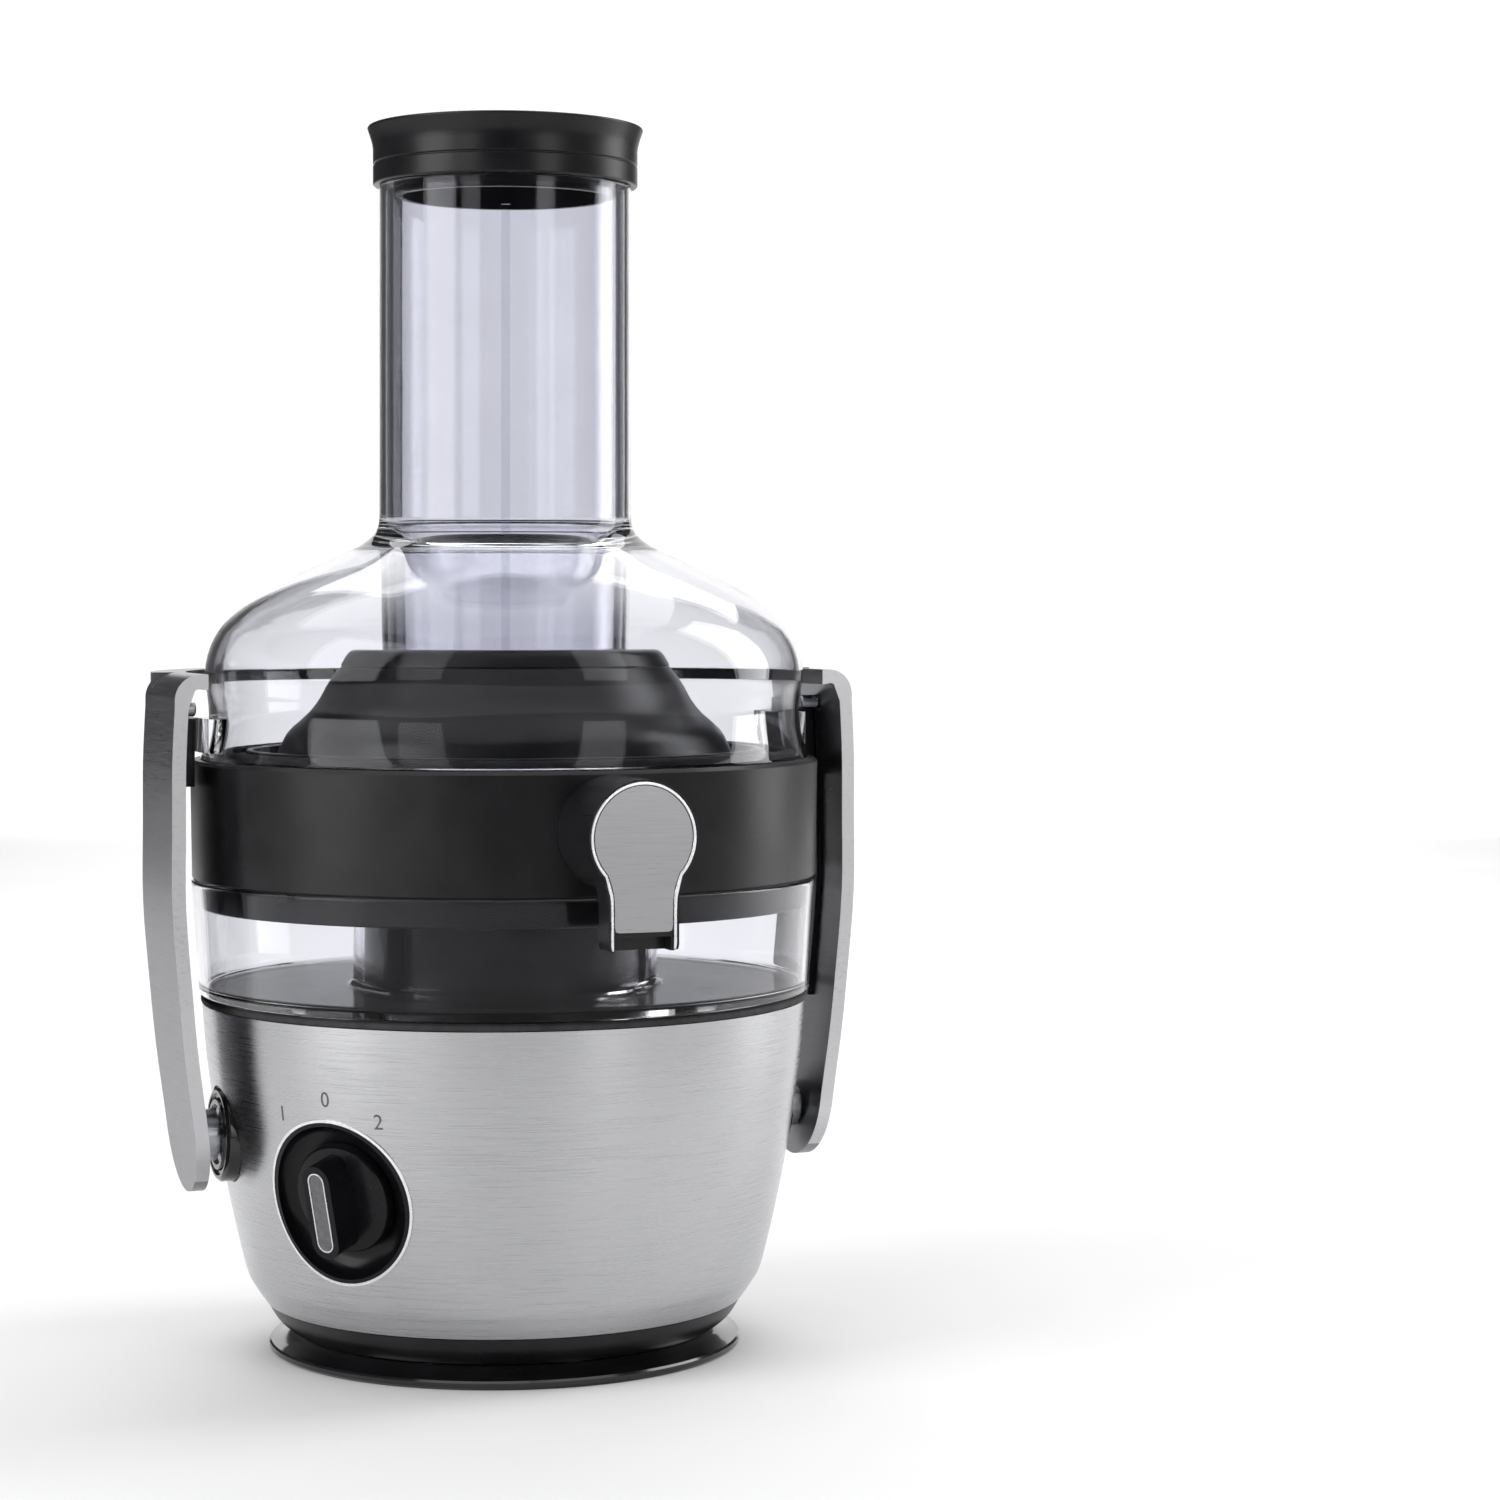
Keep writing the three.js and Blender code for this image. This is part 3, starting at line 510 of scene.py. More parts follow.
def brushed_sheet(name, dark, light, rough, grain, anisotropy=0.55, depth=0.0000025):
    """Brushed sheet metal: hair-fine lines along the brushing, soft clouds and a few deeper scratches."""
    material, tree, shader = blank_material(name)
    lines = noise(tree, grain, 5, 0.7)
    clouds = noise(tree, (9, 9, 14), 3)
    both = tree.nodes.new("ShaderNodeMath")
    both.operation = "MULTIPLY_ADD"
    both.inputs[1].default_value = 0.35
    tree.links.new(clouds, both.inputs[0])
    tree.links.new(lines, both.inputs[2])
    tree.links.new(tint(tree, between(tree, both.outputs[0], -0.05, 0.8), dark, light),
                   shader.inputs["Base Color"])
    tree.links.new(between(tree, lines, rough - 0.06, rough + 0.08), shader.inputs["Roughness"])
    shader.inputs["Metallic"].default_value = 1.0
    shader.inputs["Anisotropic"].default_value = anisotropy
    relief(tree, shader, noise(tree, tuple(2.2 * g for g in grain), 4, 0.8), depth)
    return material


def round_brushed(*look, **more):
    """The same, with its highlight spread round the vertical axis."""
    material = brushed_sheet(*look, **more)
    tree = material.node_tree
    tangent = tree.nodes.new("ShaderNodeTangent")
    tangent.direction_type = "RADIAL"
    tangent.axis = "Z"
    tree.links.new(tangent.outputs["Tangent"], tree.nodes["Principled BSDF"].inputs["Tangent"])
    tree.nodes["Principled BSDF"].inputs["Anisotropic Rotation"].default_value = 0.25
    return material


stainless = round_brushed("brushed_stainless", (0.40, 0.40, 0.412), (0.50, 0.50, 0.515), 0.28,
                          (34, 34, 2600))
satin_black = moulded_black("satin_black_moulding", (0.005, 0.005, 0.006), 0.3, 0.000005, shine=0.3)


def make_casing():
    inner_face = [(r, min(z, SHELL_TOP)) for r, z in reversed(sideways(SHELL_LINE, SHELL_WALL))]
    profile = [*SHELL_LINE, (SHELL_LINE[-1][0] - 0.5, SHELL_TOP), *inner_face]
    sleeve = turned("steel_sleeve", profile, 192)
    combined(sleeve, casing_holes(DISH_RADIUS + 1.05, 0.3))
    fitted(softened(sleeve, 0.2), stainless, "base", "brushed_housing", "housing_shell")
    low, high = millimetres("chassis")
    inside_sleeve = [p for p in sideways(SHELL_LINE, 1.6) if 18.5 < p[1] < high.z - 0.5] + [(105.6, high.z)]
    wall = list(reversed(sideways(inside_sleeve, 2.5)))
    bowl = through([(75.2, low.z), (77.5, 8), (81.6, 11.6), (85, 17.1)], 5)
    profile = [*bowl, (83.4, 17.1), *inside_sleeve, *wall, (79, 12.5), (73.5, 9.4), (73.5, low.z)]
    chassis = turned("chassis_bowl", profile, 160)
    bosses = [placed(turned("boss", ring_of(2.1, 5.2, low.z, 20), 24), around(SCREW_RING, i * QUARTER_TURN))
              for i in range(4)]
    combined(chassis, bosses, "UNION")
    combined(chassis, casing_holes(DISH_RADIUS + 0.4, 0.3))
    fitted(softened(chassis, 0), satin_black, "base", "satin_black", "chassis")


make_casing()


# ---- dial numbers -------------------------------------------------------------------------
# Off, slow and fast, printed in dark grey on the steel in an arc above the control.
def printed_ink():
    material, tree, shader = blank_material("grey_print")
    tree.links.new(tint(tree, noise(tree, (900, 900, 900)), (0.07, 0.07, 0.08), (0.11, 0.11, 0.12)),
                   shader.inputs["Base Color"])
    tree.links.new(between(tree, noise(tree, (500, 500, 500)), 0.45, 0.6), shader.inputs["Roughness"])
    return material


def shell_radius(height):
    for (r0, z0), (r1, z1) in zip(SHELL_LINE, SHELL_LINE[1:]):
        if z0 <= height <= z1:
            return r0 + (r1 - r0) * (height - z0) / (z1 - z0)
    return SHELL_LINE[-1][0]


def make_numbers():
    ink = printed_ink()
    for digit, turn in (("1", -35), ("0", 0), ("2", 35)):
        reach = 36.5 * MM
        angle = math.radians(turn)
        spot = KNOB_MATRIX @ Vector((reach * math.sin(angle), reach * math.cos(angle), 0)) / MM
        azimuth = math.atan2(-spot.x, -spot.y)
        radius = shell_radius(spot.z)
        tilt = math.atan2(shell_radius(spot.z + 2) - shell_radius(spot.z - 2), 4)
        bpy.ops.object.select_all(action="DESELECT")
        bpy.ops.object.text_add()
        text = bpy.context.object
        text.data.body = digit
        text.data.size = 7.4 * MM
        text.data.align_x = "CENTER"
        text.data.align_y = "CENTER"
        text.data.extrude = 0.04 * MM
        bpy.ops.object.convert(target="MESH")
        text.name = f"dial_number_{digit}"
        placed(text, outward(azimuth, tilt, spot.z, radius + 0.03))
        text.data.materials.append(ink)
        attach(text, "base")


make_numbers()


# ---- control dish and knob ----------------------------------------------------------------
# A round gloss black recess let into the steel behind a thin polished ring. The knob is a disc with an
# obround finger grip across it, capped by a grey plate in a fine bright frame.
def polished_trim():
    material, tree, shader = blank_material("polished_trim")
    tree.links.new(tint(tree, noise(tree, (200, 200, 200)), (0.78, 0.78, 0.8), (0.9, 0.9, 0.92)),
                   shader.inputs["Base Color"])
    shader.inputs["Metallic"].default_value = 1.0
    tree.links.new(between(tree, noise(tree, (500, 500, 500)), 0.22, 0.34), shader.inputs["Roughness"])
    return material


def painted_grey():
    material, tree, shader = blank_material("grey_knob_plate")
    tree.links.new(tint(tree, noise(tree, (500, 500, 500)), (0.12, 0.12, 0.125), (0.17, 0.17, 0.175)),
                   shader.inputs["Base Color"])
    shader.inputs["Metallic"].default_value = 0.6
    tree.links.new(between(tree, noise(tree, (900, 900, 900)), 0.38, 0.5), shader.inputs["Roughness"])
    relief(tree, shader, noise(tree, (4000, 4000, 4000)), 0.000008)
    return material


trim_metal = polished_trim()
knob_grey = painted_grey()
knob_black = moulded_black("knob_black", (0.003, 0.003, 0.004), 0.24, 0.000003, shine=0.2)


def arc(centre, radius, start, end, steps):
    angles = (math.radians(start + (end - start) * i / steps) for i in range(steps + 1))
    return [(centre[0] + radius * math.cos(a), centre[1] + radius * math.sin(a)) for a in angles]


def filled(name, corners, depth_from, depth_to):
    """An outline in X and Z, filled and extruded along Y."""
    piece = traced(name, corners)
    bpy.ops.mesh.edge_face_add()
    bpy.ops.transform.translate(value=(0, depth_from * MM, 0))
    bpy.ops.mesh.extrude_region_move(TRANSFORM_OT_translate={"value": (0, (depth_to - depth_from) * MM, 0)})
    bpy.ops.mesh.select_all(action="SELECT")
    bpy.ops.mesh.normals_make_consistent(inside=False)
    bpy.ops.object.mode_set(mode="OBJECT")
    return piece


def obround(name, length, width, bottom, top):
    """A block with fully rounded ends, standing on the control's face."""
    straight = (length - width) / 2
    outline = [*arc((0, straight), width / 2, 0, 180, 24), *arc((0, -straight), width / 2, 180, 360, 24)]
    return placed(filled(name, outline, bottom, top), Matrix.Rotation(QUARTER_TURN, 4, "X"))


def make_control():
    inner = through([(4.5, -8.6), (16, -8.4), (22.5, -7.4), (25.6, -5.2), (26.8, -2)], 4)
    cup = turned("control_dish", [*inner, (27.0, 8), (DISH_RADIUS, 8), (DISH_RADIUS, -11), (4.5, -11)], 96)
    placed(cup, KNOB_MATRIX)
    envelope = turned("envelope", [(0, SHELL_BOTTOM), *sideways(SHELL_LINE, -0.2), (0, SHELL_TOP)], 192)
    combined(cup, [envelope], "INTERSECT")
    fitted(softened(cup, 0.25), knob_black, "base", "gloss_black", "knob_dish")
    ring_outline = ring_of(DISH_RADIUS + 0.05, DISH_RADIUS + 1.0, -5, 8)
    ring = placed(turned("dish_trim_ring", ring_outline, 96), KNOB_MATRIX)
    envelope = turned("envelope", [(0, SHELL_BOTTOM), *sideways(SHELL_LINE, -0.35), (0, SHELL_TOP)], 192)
    combined(ring, [envelope], "INTERSECT")
    fitted(softened(ring, 0.2), trim_metal, "base", "bail_aluminium")
    disc = turned("speed_knob_body", [(0, -8.2), (18.6, -7.8), (19, -7.2), (19, -4.6),
                                      *through([(18.3, -3.7), (14, -3.0), (7, -2.6), (0, -2.4)], 3)], 96)
    grip = obround("grip", 33, 11, -6, 8.2)
    recess = obround("recess", 28.6, 6.9, 7.3, 9)
    stem = turned("stem", disc_of(4, -20, -7), 32)
    combined(disc, [grip, stem], "UNION")
    combined(disc, [recess])
    softened(disc, 0.6, 3, 40)
    fitted(placed(disc, KNOB_MATRIX), knob_black, "control", "gloss_black", "speed_knob")
    frame_ring = obround("knob_plate_frame", 28.3, 6.6, 7.35, 8.3)
    combined(frame_ring, [obround("inside", 27.3, 5.6, 7, 9)])
    fitted(placed(softened(frame_ring, 0.12), KNOB_MATRIX), trim_metal, "control", "bail_aluminium")
    plate = softened(obround("knob_face_plate", 27.2, 5.5, 7.35, 8.1), 0.1)
    fitted(placed(plate, KNOB_MATRIX), knob_grey, "control", "grey_plastic", "knob_insert")


make_control()


# ---- deck and drive tower -----------------------------------------------------------------
# The black deck closes the top of the base and rises into the hollow tower that the pulp container fits
# round. Two upright grooves key the container, and a rubber ring and lip seal keep the juice out.
TOWER_RADIUS = 50.5


def make_deck():
    low, high = millimetres("top_deck")
    deck_top = 123.4
    profile = [(high.x, low.z), (high.x, deck_top), (TOWER_RADIUS + 3, deck_top),
               (TOWER_RADIUS + 0.8, deck_top + 0.8), (TOWER_RADIUS, deck_top + 3),
               (TOWER_RADIUS, high.z - 3), (TOWER_RADIUS - 0.9, high.z - 0.9),
               (TOWER_RADIUS - 3, high.z), (9, high.z), (9, high.z - 3), (TOWER_RADIUS - 3.6, high.z - 4),
               (TOWER_RADIUS - 3, high.z - 6), (TOWER_RADIUS - 3, low.z)]
    deck = turned("deck_and_tower", profile, 128)
    grooves = []
    for side in (-1, 1):
        angle = side * math.radians(58) - QUARTER_TURN
        grooves.append(placed(block("groove", (2.4, 8, 27), (0, 0, 142)), around(TOWER_RADIUS, angle, angle)))
    combined(deck, grooves)
    deck_black = moulded_black("deck_black", (0.002, 0.002, 0.0025), 0.4, 0.000004, shine=0.04)
    fitted(softened(deck, 0.4), deck_black, "base", "satin_black", "top_deck")
    low, high = millimetres("deck_gasket")
    gasket = turned("container_gasket", [(102, low.z), (high.x - 0.3, low.z), (high.x, low.z + 0.5),
                                         (high.x, high.z - 0.8), (high.x - 0.8, high.z), (102, high.z)], 160)
    fitted(softened(gasket, 0.2), rubber, "base", "rubber", "deck_gasket")
    low, high = millimetres("shaft_seal")
    seal = turned("shaft_lip_seal", [(4.3, low.z), (8.6, low.z), (8.6, low.z + 2.4), (6.5, low.z + 2.6),
                                     (4.8, high.z), (4.3, high.z)], 64)
    fitted(softened(seal, 0.1), rubber, "base", "rubber", "shaft_seal")


make_deck()


# ---- cord gland ---------------------------------------------------------------------------
# The black rubber bush at the back that the mains lead leaves through.
def make_gland():
    low, high = millimetres("cord_gland")
    profile = [(3.6, 84), (GLAND_RADIUS, 84), (GLAND_RADIUS, 97), (11, 97), (11, 98.6),
               (10, 99.6), (7.6, 99.8), (7.0, high.y - 0.6), (6.4, high.y), (3.6, high.y)]
    gland = placed(turned("cord_gland_bush", profile, 64), along_y(GLAND_HEIGHT, -1))
    fitted(softened(gland, 0.25), rubber, "base", "rubber", "cord_gland")


make_gland()


# ---- pivots -------------------------------------------------------------------------------
# Each arm hangs on a turned steel pin in a black bushing with two raised rings, set into the sleeve.
def make_pivots():
    face = 106.0
    for name, side in (("left", -1), ("right", 1)):
        profile = [(5.3, 90), (BUSHING_RADIUS, 90), (BUSHING_RADIUS, face - 1.4), (15.4, face - 0.3),
                   (14.2, face - 0.3),
                   (13.8, face - 1.2), (12.6, face - 1.2), (12.2, face), (10.4, face), (10.0, face - 1.0),
                   (5.3, face - 1.0)]
        bushing = placed(turned(f"pivot_bush_{name}", profile, 96), along_x(side))
        fitted(softened(bushing, 0.2), gloss_black, "base", "satin_black", f"pivot_bushing_{name}")
        low, high = millimetres(f"pivot_pin_{name}")
        end = max(abs(low.x), abs(high.x))
        profile = [(0, 94), (5, 94), (5, face + 0.4), (9, face + 0.4), (9, end - 0.6), (8.4, end), (0, end)]
        pin = placed(turned(f"pivot_stub_{name}", profile, 64), along_x(side))
        fitted(softened(pin, 0.25), steel_plated, "bail", "machined_steel", f"pivot_pin_{name}")


make_pivots()


# ---- locking bail -------------------------------------------------------------------------
# One strip of brushed aluminium bent into a bow: two arms that curve in towards the pivots and a flat bar
# that passes round the back of the dome. Black plastic lines the back half of each arm. The bar's inner face
# at the back is coloured satin black as painted shade.
ARM_HALF = 23.5
ARM_THICKNESS = 4.8
BAIL_INNER = 113.8
low, high = millimetres("locking_bail")
BAIL_TOP = high.z
ARM_END = low.z
ARM_TOP_FACE = 125.7
ARM_FACE = through([(116, 58), (118.4, 82), (121.9, 108), (124.1, 130), (126.5, 160), (high.x - 0.25, 188),
                    (high.x - 0.3, 210), (ARM_TOP_FACE, 229)], 4)
BAR_THICKNESS = 5.5
LOCK_PIN_HEIGHT = 228


aluminium = brushed_sheet("brushed_aluminium", (0.20, 0.20, 0.21), (0.27, 0.27, 0.282), 0.32,
                          (60, 60, 2200), 0.35)
# A lighter copy of the same brushed aluminium for the narrow faces at the front and back of each arm: painted
# highlight.
edge_highlight_aluminium = brushed_sheet("aluminium_painted_edge_highlight", (0.48, 0.48, 0.49), (0.58, 0.58, 0.59), 0.34,
                         (400, 400, 900), 0.2)


def make_arm():
    corner = 9
    inner = list(reversed(sideways(ARM_FACE, ARM_THICKNESS)))
    bend = (ARM_TOP_FACE - corner, BAIL_TOP - corner)
    outline = [*ARM_FACE, *arc(bend, corner, 4, 90, 10), (114, BAIL_TOP), (114, BAIL_TOP - BAR_THICKNESS),
               *arc(bend, corner - 5.0, 80, 10, 4)[:2], *inner]
    arm = filled("arm", outline, -ARM_HALF, ARM_HALF)
    end_radius = 22.4
    front = [(-ARM_HALF, 250), (-ARM_HALF, 150), *arc((0, ARM_END + end_radius), end_radius, 180, 360, 36),
             (ARM_HALF, 150), (ARM_HALF, 250)]
    face = placed(filled("face", front, 95, 135), Matrix.Rotation(-QUARTER_TURN, 4, "Z"))
    return combined(arm, [face], "INTERSECT")


def make_bail():
    arm = make_arm()
    other = copied(arm, "other_arm", Matrix.Rotation(math.pi, 4, "Z"))
    bar = traced("bar", ring_of(BAIL_INNER, 126, BAIL_TOP - BAR_THICKNESS, BAIL_TOP))
    bpy.ops.mesh.edge_face_add()
    bpy.ops.transform.rotate(value=math.radians(7), orient_axis="Z", center_override=(0, 0, 0))
    bpy.ops.mesh.spin(steps=72, angle=math.radians(166), center=(0, 0, 0), axis=(0, 0, 1))
    bpy.ops.mesh.select_all(action="SELECT")
    bpy.ops.mesh.remove_doubles(threshold=MM / 1000)
    bpy.ops.mesh.normals_make_consistent(inside=False)
    bpy.ops.object.mode_set(mode="OBJECT")
    placed(bar, Matrix.Rotation(math.pi, 4, "Z"))
    combined(arm, [other, bar], "UNION")
    arm.name = "bail_strip"
    arm.data.name = "bail_strip"
    strip = softened(arm, 0.5, 3)
    strip.data.materials.clear()
    for finish in (aluminium, satin_black, edge_highlight_aluminium):
        strip.data.materials.append(finish)
    painted_shade_index, edge, painted_shade_from, edge_to = 1, 2, 230, 233
    for face in strip.data.polygons:
        spot = face.center / MM
        # Faces on the narrow front and back sides of the arms take the lighter aluminium copy, which is a
        # painted highlight.
        arm_edge = abs(face.normal.y) > 0.4 and abs(spot.y) > 15 and abs(spot.x) > 108 and spot.z < edge_to
        # Inward faces at the back above 230 mm (the rear bar's inner face and the backs of the bends) take
        # satin black: painted shade for the bar's shaded side seen through the dome.
        inward = spot.x * face.normal.x + spot.y * face.normal.y < -0.9 * BAIL_INNER
        if inward and spot.y > 12 and spot.z > painted_shade_from:
            face.material_index = painted_shade_index
        else:
            face.material_index = edge if arm_edge else 0
    fitted(strip, None, "bail", "bail_aluminium", "locking_bail")


make_bail()


def make_liners():
    for name, side in (("left", -1), ("right", 1)):
        low, high = millimetres(f"bail_liner_{name}")
        skin = [p for p in sideways(ARM_FACE, ARM_THICKNESS + 0.05) if low.z < p[1] < 231]
        outline = [*skin, *reversed(sideways(skin, 1.7))]
        turn = Matrix.Rotation(math.pi, 4, "Z") if side < 0 else Matrix.Identity(4)
        span = (-ARM_HALF + 0.8, 3.5) if side < 0 else (-3.5, ARM_HALF - 0.8)
        liner = filled(f"bail_lining_{name}", outline, *span)
        latch = block("latch", (7.4, 15, 24), (117.4, side * 6, 213))
        combined(liner, [latch], "UNION")
        pin_gap = placed(turned("gap", disc_of(3.4, 100, 130), 32), along_x(1, LOCK_PIN_HEIGHT, -2 * side))
        combined(liner, [pin_gap])
        placed(liner, turn)
        fitted(softened(liner, 0.4), satin_black, "bail", "satin_black", f"bail_liner_{name}")
        profile = [(0, 113.8), (2.1, 113.8), (2.6, 114.3), (2.6, 120.4), (0, 120.4)]
        pin = placed(turned(f"lock_stub_{name}", profile, 40), along_x(side, LOCK_PIN_HEIGHT, -2))
        fitted(softened(pin, 0.15), steel_plated, "bail", "machined_steel", f"lock_pin_{name}")


make_liners()


# ---- pulp container -----------------------------------------------------------------------
# A clear moulded ring trough with a flared outer wall. Its inner wall goes up round the drive tower.
def clear_moulding(name, colour, roughness, ripple, index=1.45):
    """Clear plastic tinted with the given colour, flow ripples and a bloom of fine handling scratches. For
    the walls the tint is a trace of grey in the melt; for the trough floor it is painted shade.
    """
    material, tree, shader = blank_material(name)
    shader.inputs["Base Color"].default_value = (*colour, 1)
    tree.links.new(tint(tree, noise(tree, (40, 40, 40)), tuple(c * 0.985 for c in colour), colour),
                   shader.inputs["Base Color"])
    shader.inputs["Transmission Weight"].default_value = 1.0
    shader.inputs["IOR"].default_value = index
    shader.inputs["Specular Tint"].default_value = (0.3, 0.3, 0.31, 1)
    tree.links.new(between(tree, noise(tree, (30, 30, 12), 6), roughness * 0.6, roughness * 1.6),
                   shader.inputs["Roughness"])
    relief(tree, shader, noise(tree, (70, 70, 25), 2), ripple)
    return material


clear_plastic = clear_moulding("clear_moulding", (0.88, 0.883, 0.912), 0.02, 0.00002)


def make_container():
    low, high = millimetres("pulp_container")
    wall_top, floor = high.z, low.z
    inner_top = 156
    profile = [(52, floor), (108.4, floor), (109.2, floor + 0.8), (high.x - 0.15, wall_top - 2.5),
               (high.x, wall_top - 2), (high.x, wall_top - 0.5), (high.x - 0.5, wall_top), (109.5, wall_top),
               (109.3, wall_top - 2), (107.0, floor + 6), *arc((104.6, floor + 4.6), 2.4, 0, -90, 5),
               *arc((57.6, floor + 5.2), 3, -90, -180, 5), (54.2, wall_top - 12), (54.2, inner_top),
               (52, inner_top)]
    container = softened(turned("pulp_trough", profile, 160), 0.3)
    # The trough floor gets the clear plastic at half its brightness, with a low index to cut its glare:
    # painted shade for the dark deck seen through it.
    floor_painted_shade = clear_moulding("trough_floor_painted_shade", (0.5, 0.505, 0.52), 0.1, 0.00001, 1.04)
    container.data.materials.append(clear_plastic)
    container.data.materials.append(floor_painted_shade)
    # Level faces low in the trough take the darkened copy, which is painted shade.
    for face in container.data.polygons:
        level = abs(face.normal.z) > 0.8 and face.center.z < (floor + 5) * MM
        face.material_index = 1 if level else 0
    fitted(container, None, "container", "clear_plastic", "pulp_container")


make_container()


# ---- juice collector ----------------------------------------------------------------------
# The deep satin black band. Inside it is an open channel that catches the juice and leads it to the spout
# socket at the front; a short skirt below drops inside the pulp container.
SPOUT_HEIGHT = 189.4
SPOUT_BORE = 11
SOCKET_RADIUS = 15


def make_collector():
    low, high = millimetres("juice_collector")
    band, top = high.x, 209.5
    profile = [(105.9, low.z), (107.7, low.z), (108.1, low.z + 0.5), (108.1, 167.5), (111.0, 167.5),
               (111.5, 168.1), (band, top - 1.2), (band - 1.1, top), (94.4, top), (92.9, top + 0.4),
               (92.4, top + 1.4), (92.4, high.z - 0.4), (92.0, high.z), (90.6, high.z), (90.2, high.z - 0.4),
               (90.2, top - 2.5), (109.8, top - 2.5), (109.1, 172.5), (88.8, 172.5), (88.8, 179.5),
               (86.8, 179.5), (86.8, 169.7), (105.9, 169.7)]
    body = turned("collector_band", profile, 192)
    collar = placed(turned("collar", disc_of(18.8, 106, 112.3), 64), along_y(SPOUT_HEIGHT, 1))
    socket = placed(turned("socket", disc_of(SOCKET_RADIUS, 106, 126), 64), along_y(SPOUT_HEIGHT, 1))
    bore = placed(turned("bore", disc_of(SPOUT_BORE, 88, 130), 48), along_y(SPOUT_HEIGHT, 1))
    combined(body, [collar, socket], "UNION")
    combined(body, [bore])
    fitted(softened(body, 0.22), satin_black, "collector", "satin_black", "juice_collector", "spout_socket")


make_collector()


# ---- drip-stop spout ----------------------------------------------------------------------
# A satin black barrel that turns on the socket, with a downward nose. Its front is a brushed steel plate of
# keyhole outline in a polished frame; turned nose-up it stops dripping.
low, high = millimetres("drip_stop_spout")
SPOUT_FRONT = -low.y
SPOUT_BACK = 112.9
SPOUT_RADIUS = high.x
NOSE_REACH = SPOUT_HEIGHT - low.z
NOSE_DEPTH = 10
NOSE_HALF = 12


def keyhole(inset, bottom):
    """The front outline about the spout's own axis: a round head that runs in hollow curves into the nose."""
    radius, half = SPOUT_RADIUS - inset, NOSE_HALF - inset
    head = arc((0, 0), radius, -43, 223, 56)
    start = Vector(head[-1])
    curve = through([tuple(start), (-half - 0.8, start.y - 4.4), (-half - 0.05, start.y - 9),
                     (-half, bottom + 2)], 5)
    hollow = curve[1:]
    left = [*hollow, (-half + 0.4, bottom + 0.4), (-half + 1.6, bottom)]
    return [*head, *left, *[(-x, z) for x, z in reversed(left)]]


def keyhole_solid(name, inset, bottom, back, front):
    piece = filled(name, keyhole(inset, bottom), -front, -back)
    return placed(piece, Matrix.Translation((0, 0, SPOUT_HEIGHT * MM)))


def make_spout():
    front = SPOUT_FRONT
    barrel_outline = disc_of(SPOUT_RADIUS, SPOUT_BACK, front - 1)
    barrel = placed(turned("spout_barrel", barrel_outline, 96), along_y(SPOUT_HEIGHT, 1))
    nose = keyhole_solid("nose", 0, -NOSE_REACH, front - NOSE_DEPTH, front)
    combined(barrel, [nose], "UNION")
    wall = 2.4
    channel = block("channel", (2 * (NOSE_HALF - wall), NOSE_DEPTH - 2 * wall, 50),
                    (0, -(front - NOSE_DEPTH / 2), SPOUT_HEIGHT - 25))
    mouth = block("mouth", (2 * (NOSE_HALF - wall), NOSE_DEPTH / 2 + 2, 10),
                  (0, -front, SPOUT_HEIGHT - NOSE_REACH - 0.4))
    socket_gap = disc_of(SOCKET_RADIUS + 0.4, SPOUT_BACK - 1, 126.6)
    socket = placed(turned("socket", socket_gap, 64), along_y(SPOUT_HEIGHT, 1))
    chamber = placed(turned("chamber", disc_of(SPOUT_BORE, 120, front - 3), 48), along_y(SPOUT_HEIGHT, 1))
    recess = keyhole_solid("recess", 0.5, -NOSE_REACH - 4, front - 1.2, front + 2)
    combined(barrel, [channel, mouth, socket, chamber, recess])
    fitted(softened(barrel, 0.3), satin_black, "spout", "satin_black", "drip_stop_spout")
    frame_piece = keyhole_solid("spout_frame", 0.6, -NOSE_REACH + 0.2, front - 1.1, front)
    opening = keyhole_solid("opening", 1.7, -NOSE_REACH - 5, front - 3, front + 2)
    combined(frame_piece, [opening])
    fitted(softened(frame_piece, 0.3, 3), trim_metal, "spout", "bail_aluminium")
    plate = keyhole_solid("spout_plate", 1.95, -NOSE_REACH + 6.2, front - 1.1, front - 0.25)
    fitted(softened(plate, 0.12), spout_steel, "spout", "brushed_housing", "spout_face")


spout_steel = brushed_sheet("brushed_spout_plate", (0.34, 0.34, 0.352), (0.42, 0.42, 0.433), 0.32,
                            (60, 60, 2600), 0.4)
make_spout()


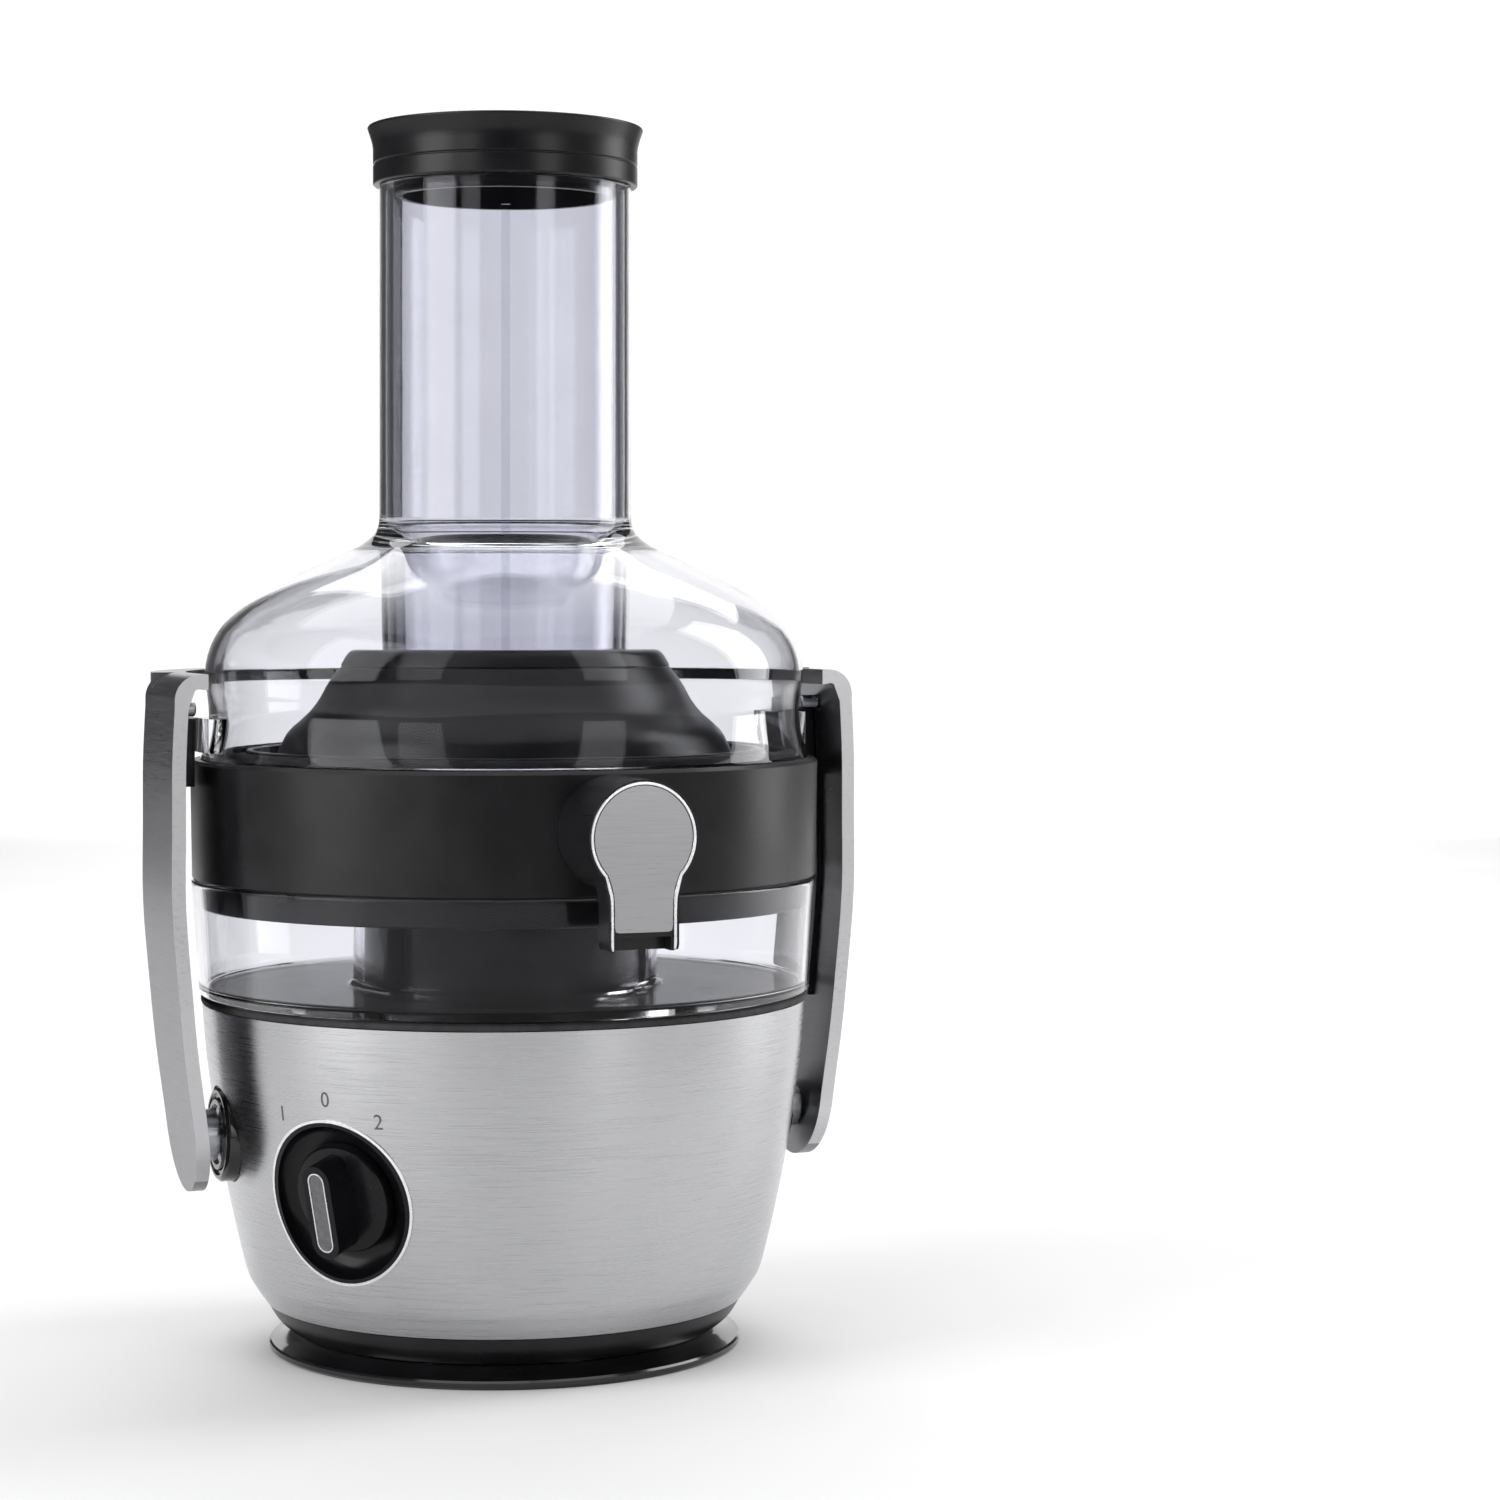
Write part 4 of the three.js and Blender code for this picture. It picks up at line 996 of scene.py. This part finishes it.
# ---- sieve --------------------------------------------------------------------------------
# A black moulded cone with a separate top ring over a cylinder of perforated steel, and a toothed steel
# disc in its floor. The motor turns it through the coupling under the hub.
def make_sieve():
    low, high = millimetres("sieve_cone")
    cone = through([(81.4, low.z + 0.4), (80.1, 214.2), (76.9, 219.6), (68.8, 227.6), (63.3, 236.1),
                    (59.2, 242.2)], 5)
    inside = list(reversed(sideways(cone, 2)))
    profile = [*cone, (58.8, 242.3), (58.6, 242.7), (59.0, 242.9), (57.2, 246.4),
               *arc((53.6, 245.6), 3.4, 30, 90, 5), (49, high.z), (47.8, 248.4), (47.6, 247),
               (47.6, 245.4), (54, 244), *inside]
    shell = turned("sieve_cone_moulding", profile, 144)
    fitted(softened(shell, 0.15), satin_black, "sieve", "satin_black", "sieve_cone")
    low, high = millimetres("sieve_mesh")
    rows, radius = 22, 80.6
    middle, tall = (high.z + low.z) / 2 * MM, high.z - low.z
    bpy.ops.object.select_all(action="DESELECT")
    bpy.ops.mesh.primitive_cylinder_add(vertices=150, radius=radius * MM, depth=tall * MM,
                                        end_fill_type="NOTHING", location=(0, 0, middle))
    sieve = bpy.context.object
    sieve.name = "sieve_sheet"
    bpy.ops.object.transform_apply(location=True, rotation=True, scale=True)
    bpy.ops.object.mode_set(mode="EDIT")
    bpy.ops.mesh.select_mode(type="VERT")
    for row in range(1, rows):
        height = low.z + tall * row / rows
        bpy.ops.mesh.select_all(action="SELECT")
        bpy.ops.mesh.bisect(plane_co=(0, 0, height * MM), plane_no=(0, 0, 1))
    bpy.ops.object.mode_set(mode="OBJECT")
    lattice = sieve.modifiers.new("lattice", "WIREFRAME")
    lattice.thickness = 0.7 * MM
    lattice.use_replace = True
    bpy.ops.object.modifier_apply(modifier="lattice")
    fitted(sieve, mesh_steel, "sieve", "brushed_housing", "sieve_mesh")


mesh_steel = round_brushed("sieve_steel", (0.45, 0.45, 0.47), (0.62, 0.62, 0.65), 0.25, (60, 60, 900))
make_sieve()


# ---- lid with its feed tube ---------------------------------------------------------------
# One thick clear moulding: a skirt that stands on the band, a swelling dome, and the wide feed tube that runs
# on down inside to just above the grating disc. A lug on each side takes the bail's lock pins.
def make_lid():
    tube_low, tube_high = millimetres("feed_tube")
    low_lid = millimetres("lid")[0].z
    tube, tube_wall = 45.3, 2.3
    inner_tube = 42.9
    skirt = through([(108.7, low_lid), (107.3, 214), (106.1, 220.5), (105.8, 226), (106.3, 232),
                     (107.05, 238), (106.9, 243), (105.6, 248.5), (103.2, 253.8), (99.4, 259), (91.3, 265.9),
                     (78.8, 273.1), (63.1, 280.3), (52.5, 285.2)], 3)
    outer = [*skirt, *through([(49.6, 287.2), (46.8, 289.9), (45.5, 293.4), (tube, 297)], 3)]
    inner = [(r, max(z, low_lid)) for r, z in sideways(skirt, 3.0) if r > 48.5]
    profile = [*outer, (tube, tube_high.z - 0.6), (tube - 0.5, tube_high.z),
               (tube - tube_wall + 0.4, tube_high.z), (tube - tube_wall, tube_high.z - 0.5),
               (tube - tube_wall, 287.5), (inner_tube - tube_wall, tube_low.z), (inner_tube, tube_low.z),
               (inner_tube + 2, 280), (45.6, 283), *reversed(inner)]
    lid = turned("lid_and_tube", profile, 192)
    lugs = []
    for side in (-1, 1):
        lug = block("lug", (7, 26, 12), (side * 108.3, 0, 218.8))
        inside = turned("inside", disc_of(103.6, 200, 240), 96)
        lugs.append(combined(lug, [inside]))
    combined(lid, lugs, "UNION")
    fitted(softened(lid, 0.3, 2, 40), clear_plastic, "lid", "clear_plastic", "lid", "feed_tube")
    low, high = millimetres("lid_seal")
    profile = [(100.8, low.z), (high.x, low.z), (high.x, high.z - 0.8), (high.x - 1, high.z), (101.6, high.z),
               (100.8, high.z - 0.8)]
    seal = turned("lid_seal_ring", profile, 144)
    fitted(softened(seal, 0.25), rubber, "lid", "rubber", "lid_seal")


make_lid()


# ---- pusher -------------------------------------------------------------------------------
# A clear closed-ended cup that slides in the feed tube under a black cap with a flared rim.
def make_pusher():
    low, high = millimetres("pusher_tube")
    wide, narrow, skin, taper_end = high.x, 39.9, 2, 300
    profile = [(0, low.z), *arc((narrow - 2.4, low.z + 2.4), 2.4, -90, -4, 5), (wide, taper_end),
               (wide, high.z), (wide - skin, high.z), (wide - skin, taper_end),
               *arc((narrow - 4.2, low.z + 4.2), 2.2, -4, -90, 5), (0, low.z + skin)]
    cup = turned("pusher_cup", profile, 144)
    rib = block("rib", (1.8, 3.0, high.z - low.z - 16), (0, 0, (high.z + low.z) / 2))
    turn = -math.radians(90 + 17.9)
    placed(rib, around(narrow - 2.0, turn, turn))
    combined(cup, [rib], "UNION")
    fitted(softened(cup, 0.15), clear_plastic, "pusher", "clear_plastic", "pusher_tube")
    low, high = millimetres("pusher_cap")
    rim, body = high.x, 47.5
    flare = through([(body, 427.2), (body + 0.25, 429.2), (body + 0.9, 431.6), (rim - 0.25, 434.2)], 4)
    plug, underside = low.z + 3.2, 414.5
    profile = [(0, 429), (37, 429), (37, plug), (39.5, plug), (40, plug + 0.6), (40, underside),
               (body - 0.4, underside),
               (body, 415), (body, 421.4), (body - 0.55, 421.6), (body - 0.55, 422.1), (body, 422.3), *flare,
               (rim, 434.9), (rim - 0.3, high.z - 0.15), (rim - 0.9, high.z), (46.4, high.z), (45.4, 433.2),
               *through([(44.4, 432.5), (30, 432.0), (12, 431.8), (0, 431.8)], 3)]
    cap = turned("pusher_cap_moulding", profile, 160)
    fitted(softened(cap, 0.2), satin_black, "pusher", "satin_black", "pusher_cap")


make_pusher()


# ---- drive and electrics ------------------------------------------------------------------
# What the casing hides: the universal motor between its brackets, the fan, the coupling, the board and the
# switches. These keep their own solids and get the finish of the real ones.
def plain_finish(name, dark, light, rough, metallic=0.0, grain=(120, 120, 120), depth=0.00001):
    material, tree, shader = blank_material(name)
    tree.links.new(tint(tree, noise(tree, grain), dark, light), shader.inputs["Base Color"])
    tree.links.new(between(tree, noise(tree, tuple(3 * g for g in grain)), rough * 0.8, rough * 1.2),
                   shader.inputs["Roughness"])
    shader.inputs["Metallic"].default_value = metallic
    relief(tree, shader, noise(tree, tuple(9 * g for g in grain)), depth)
    return material


def finish_hidden_nodes():
    looks = {
        "machined_steel": steel_plated,
        "satin_black": satin_black,
        "brushed_housing": mesh_steel,
        "lamination": plain_finish("varnished_laminations", (0.06, 0.06, 0.07), (0.16, 0.17, 0.19), 0.45, 0.7,
                                   (40, 40, 2600), 0.00008),
        "copper": plain_finish("enamelled_copper", (0.35, 0.11, 0.04), (0.62, 0.25, 0.1), 0.3, 1.0,
                               (90, 90, 1600), 0.0001),
        "carbon": plain_finish("pressed_carbon", (0.015, 0.015, 0.016), (0.04, 0.04, 0.042), 0.6),
        "board_green": plain_finish("solder_mask", (0.008, 0.06, 0.02), (0.02, 0.12, 0.045), 0.35),
        "grey_plastic": plain_finish("grey_nylon", (0.1, 0.1, 0.11), (0.16, 0.16, 0.17), 0.45),
    }
    for part in frame["record"]["subparts"]:
        node = frame["nodes"][part["node"]]
        if not node.hide_render:
            node.data.materials.clear()
            node.data.materials.append(looks[part["material_slot"]])


finish_hidden_nodes()
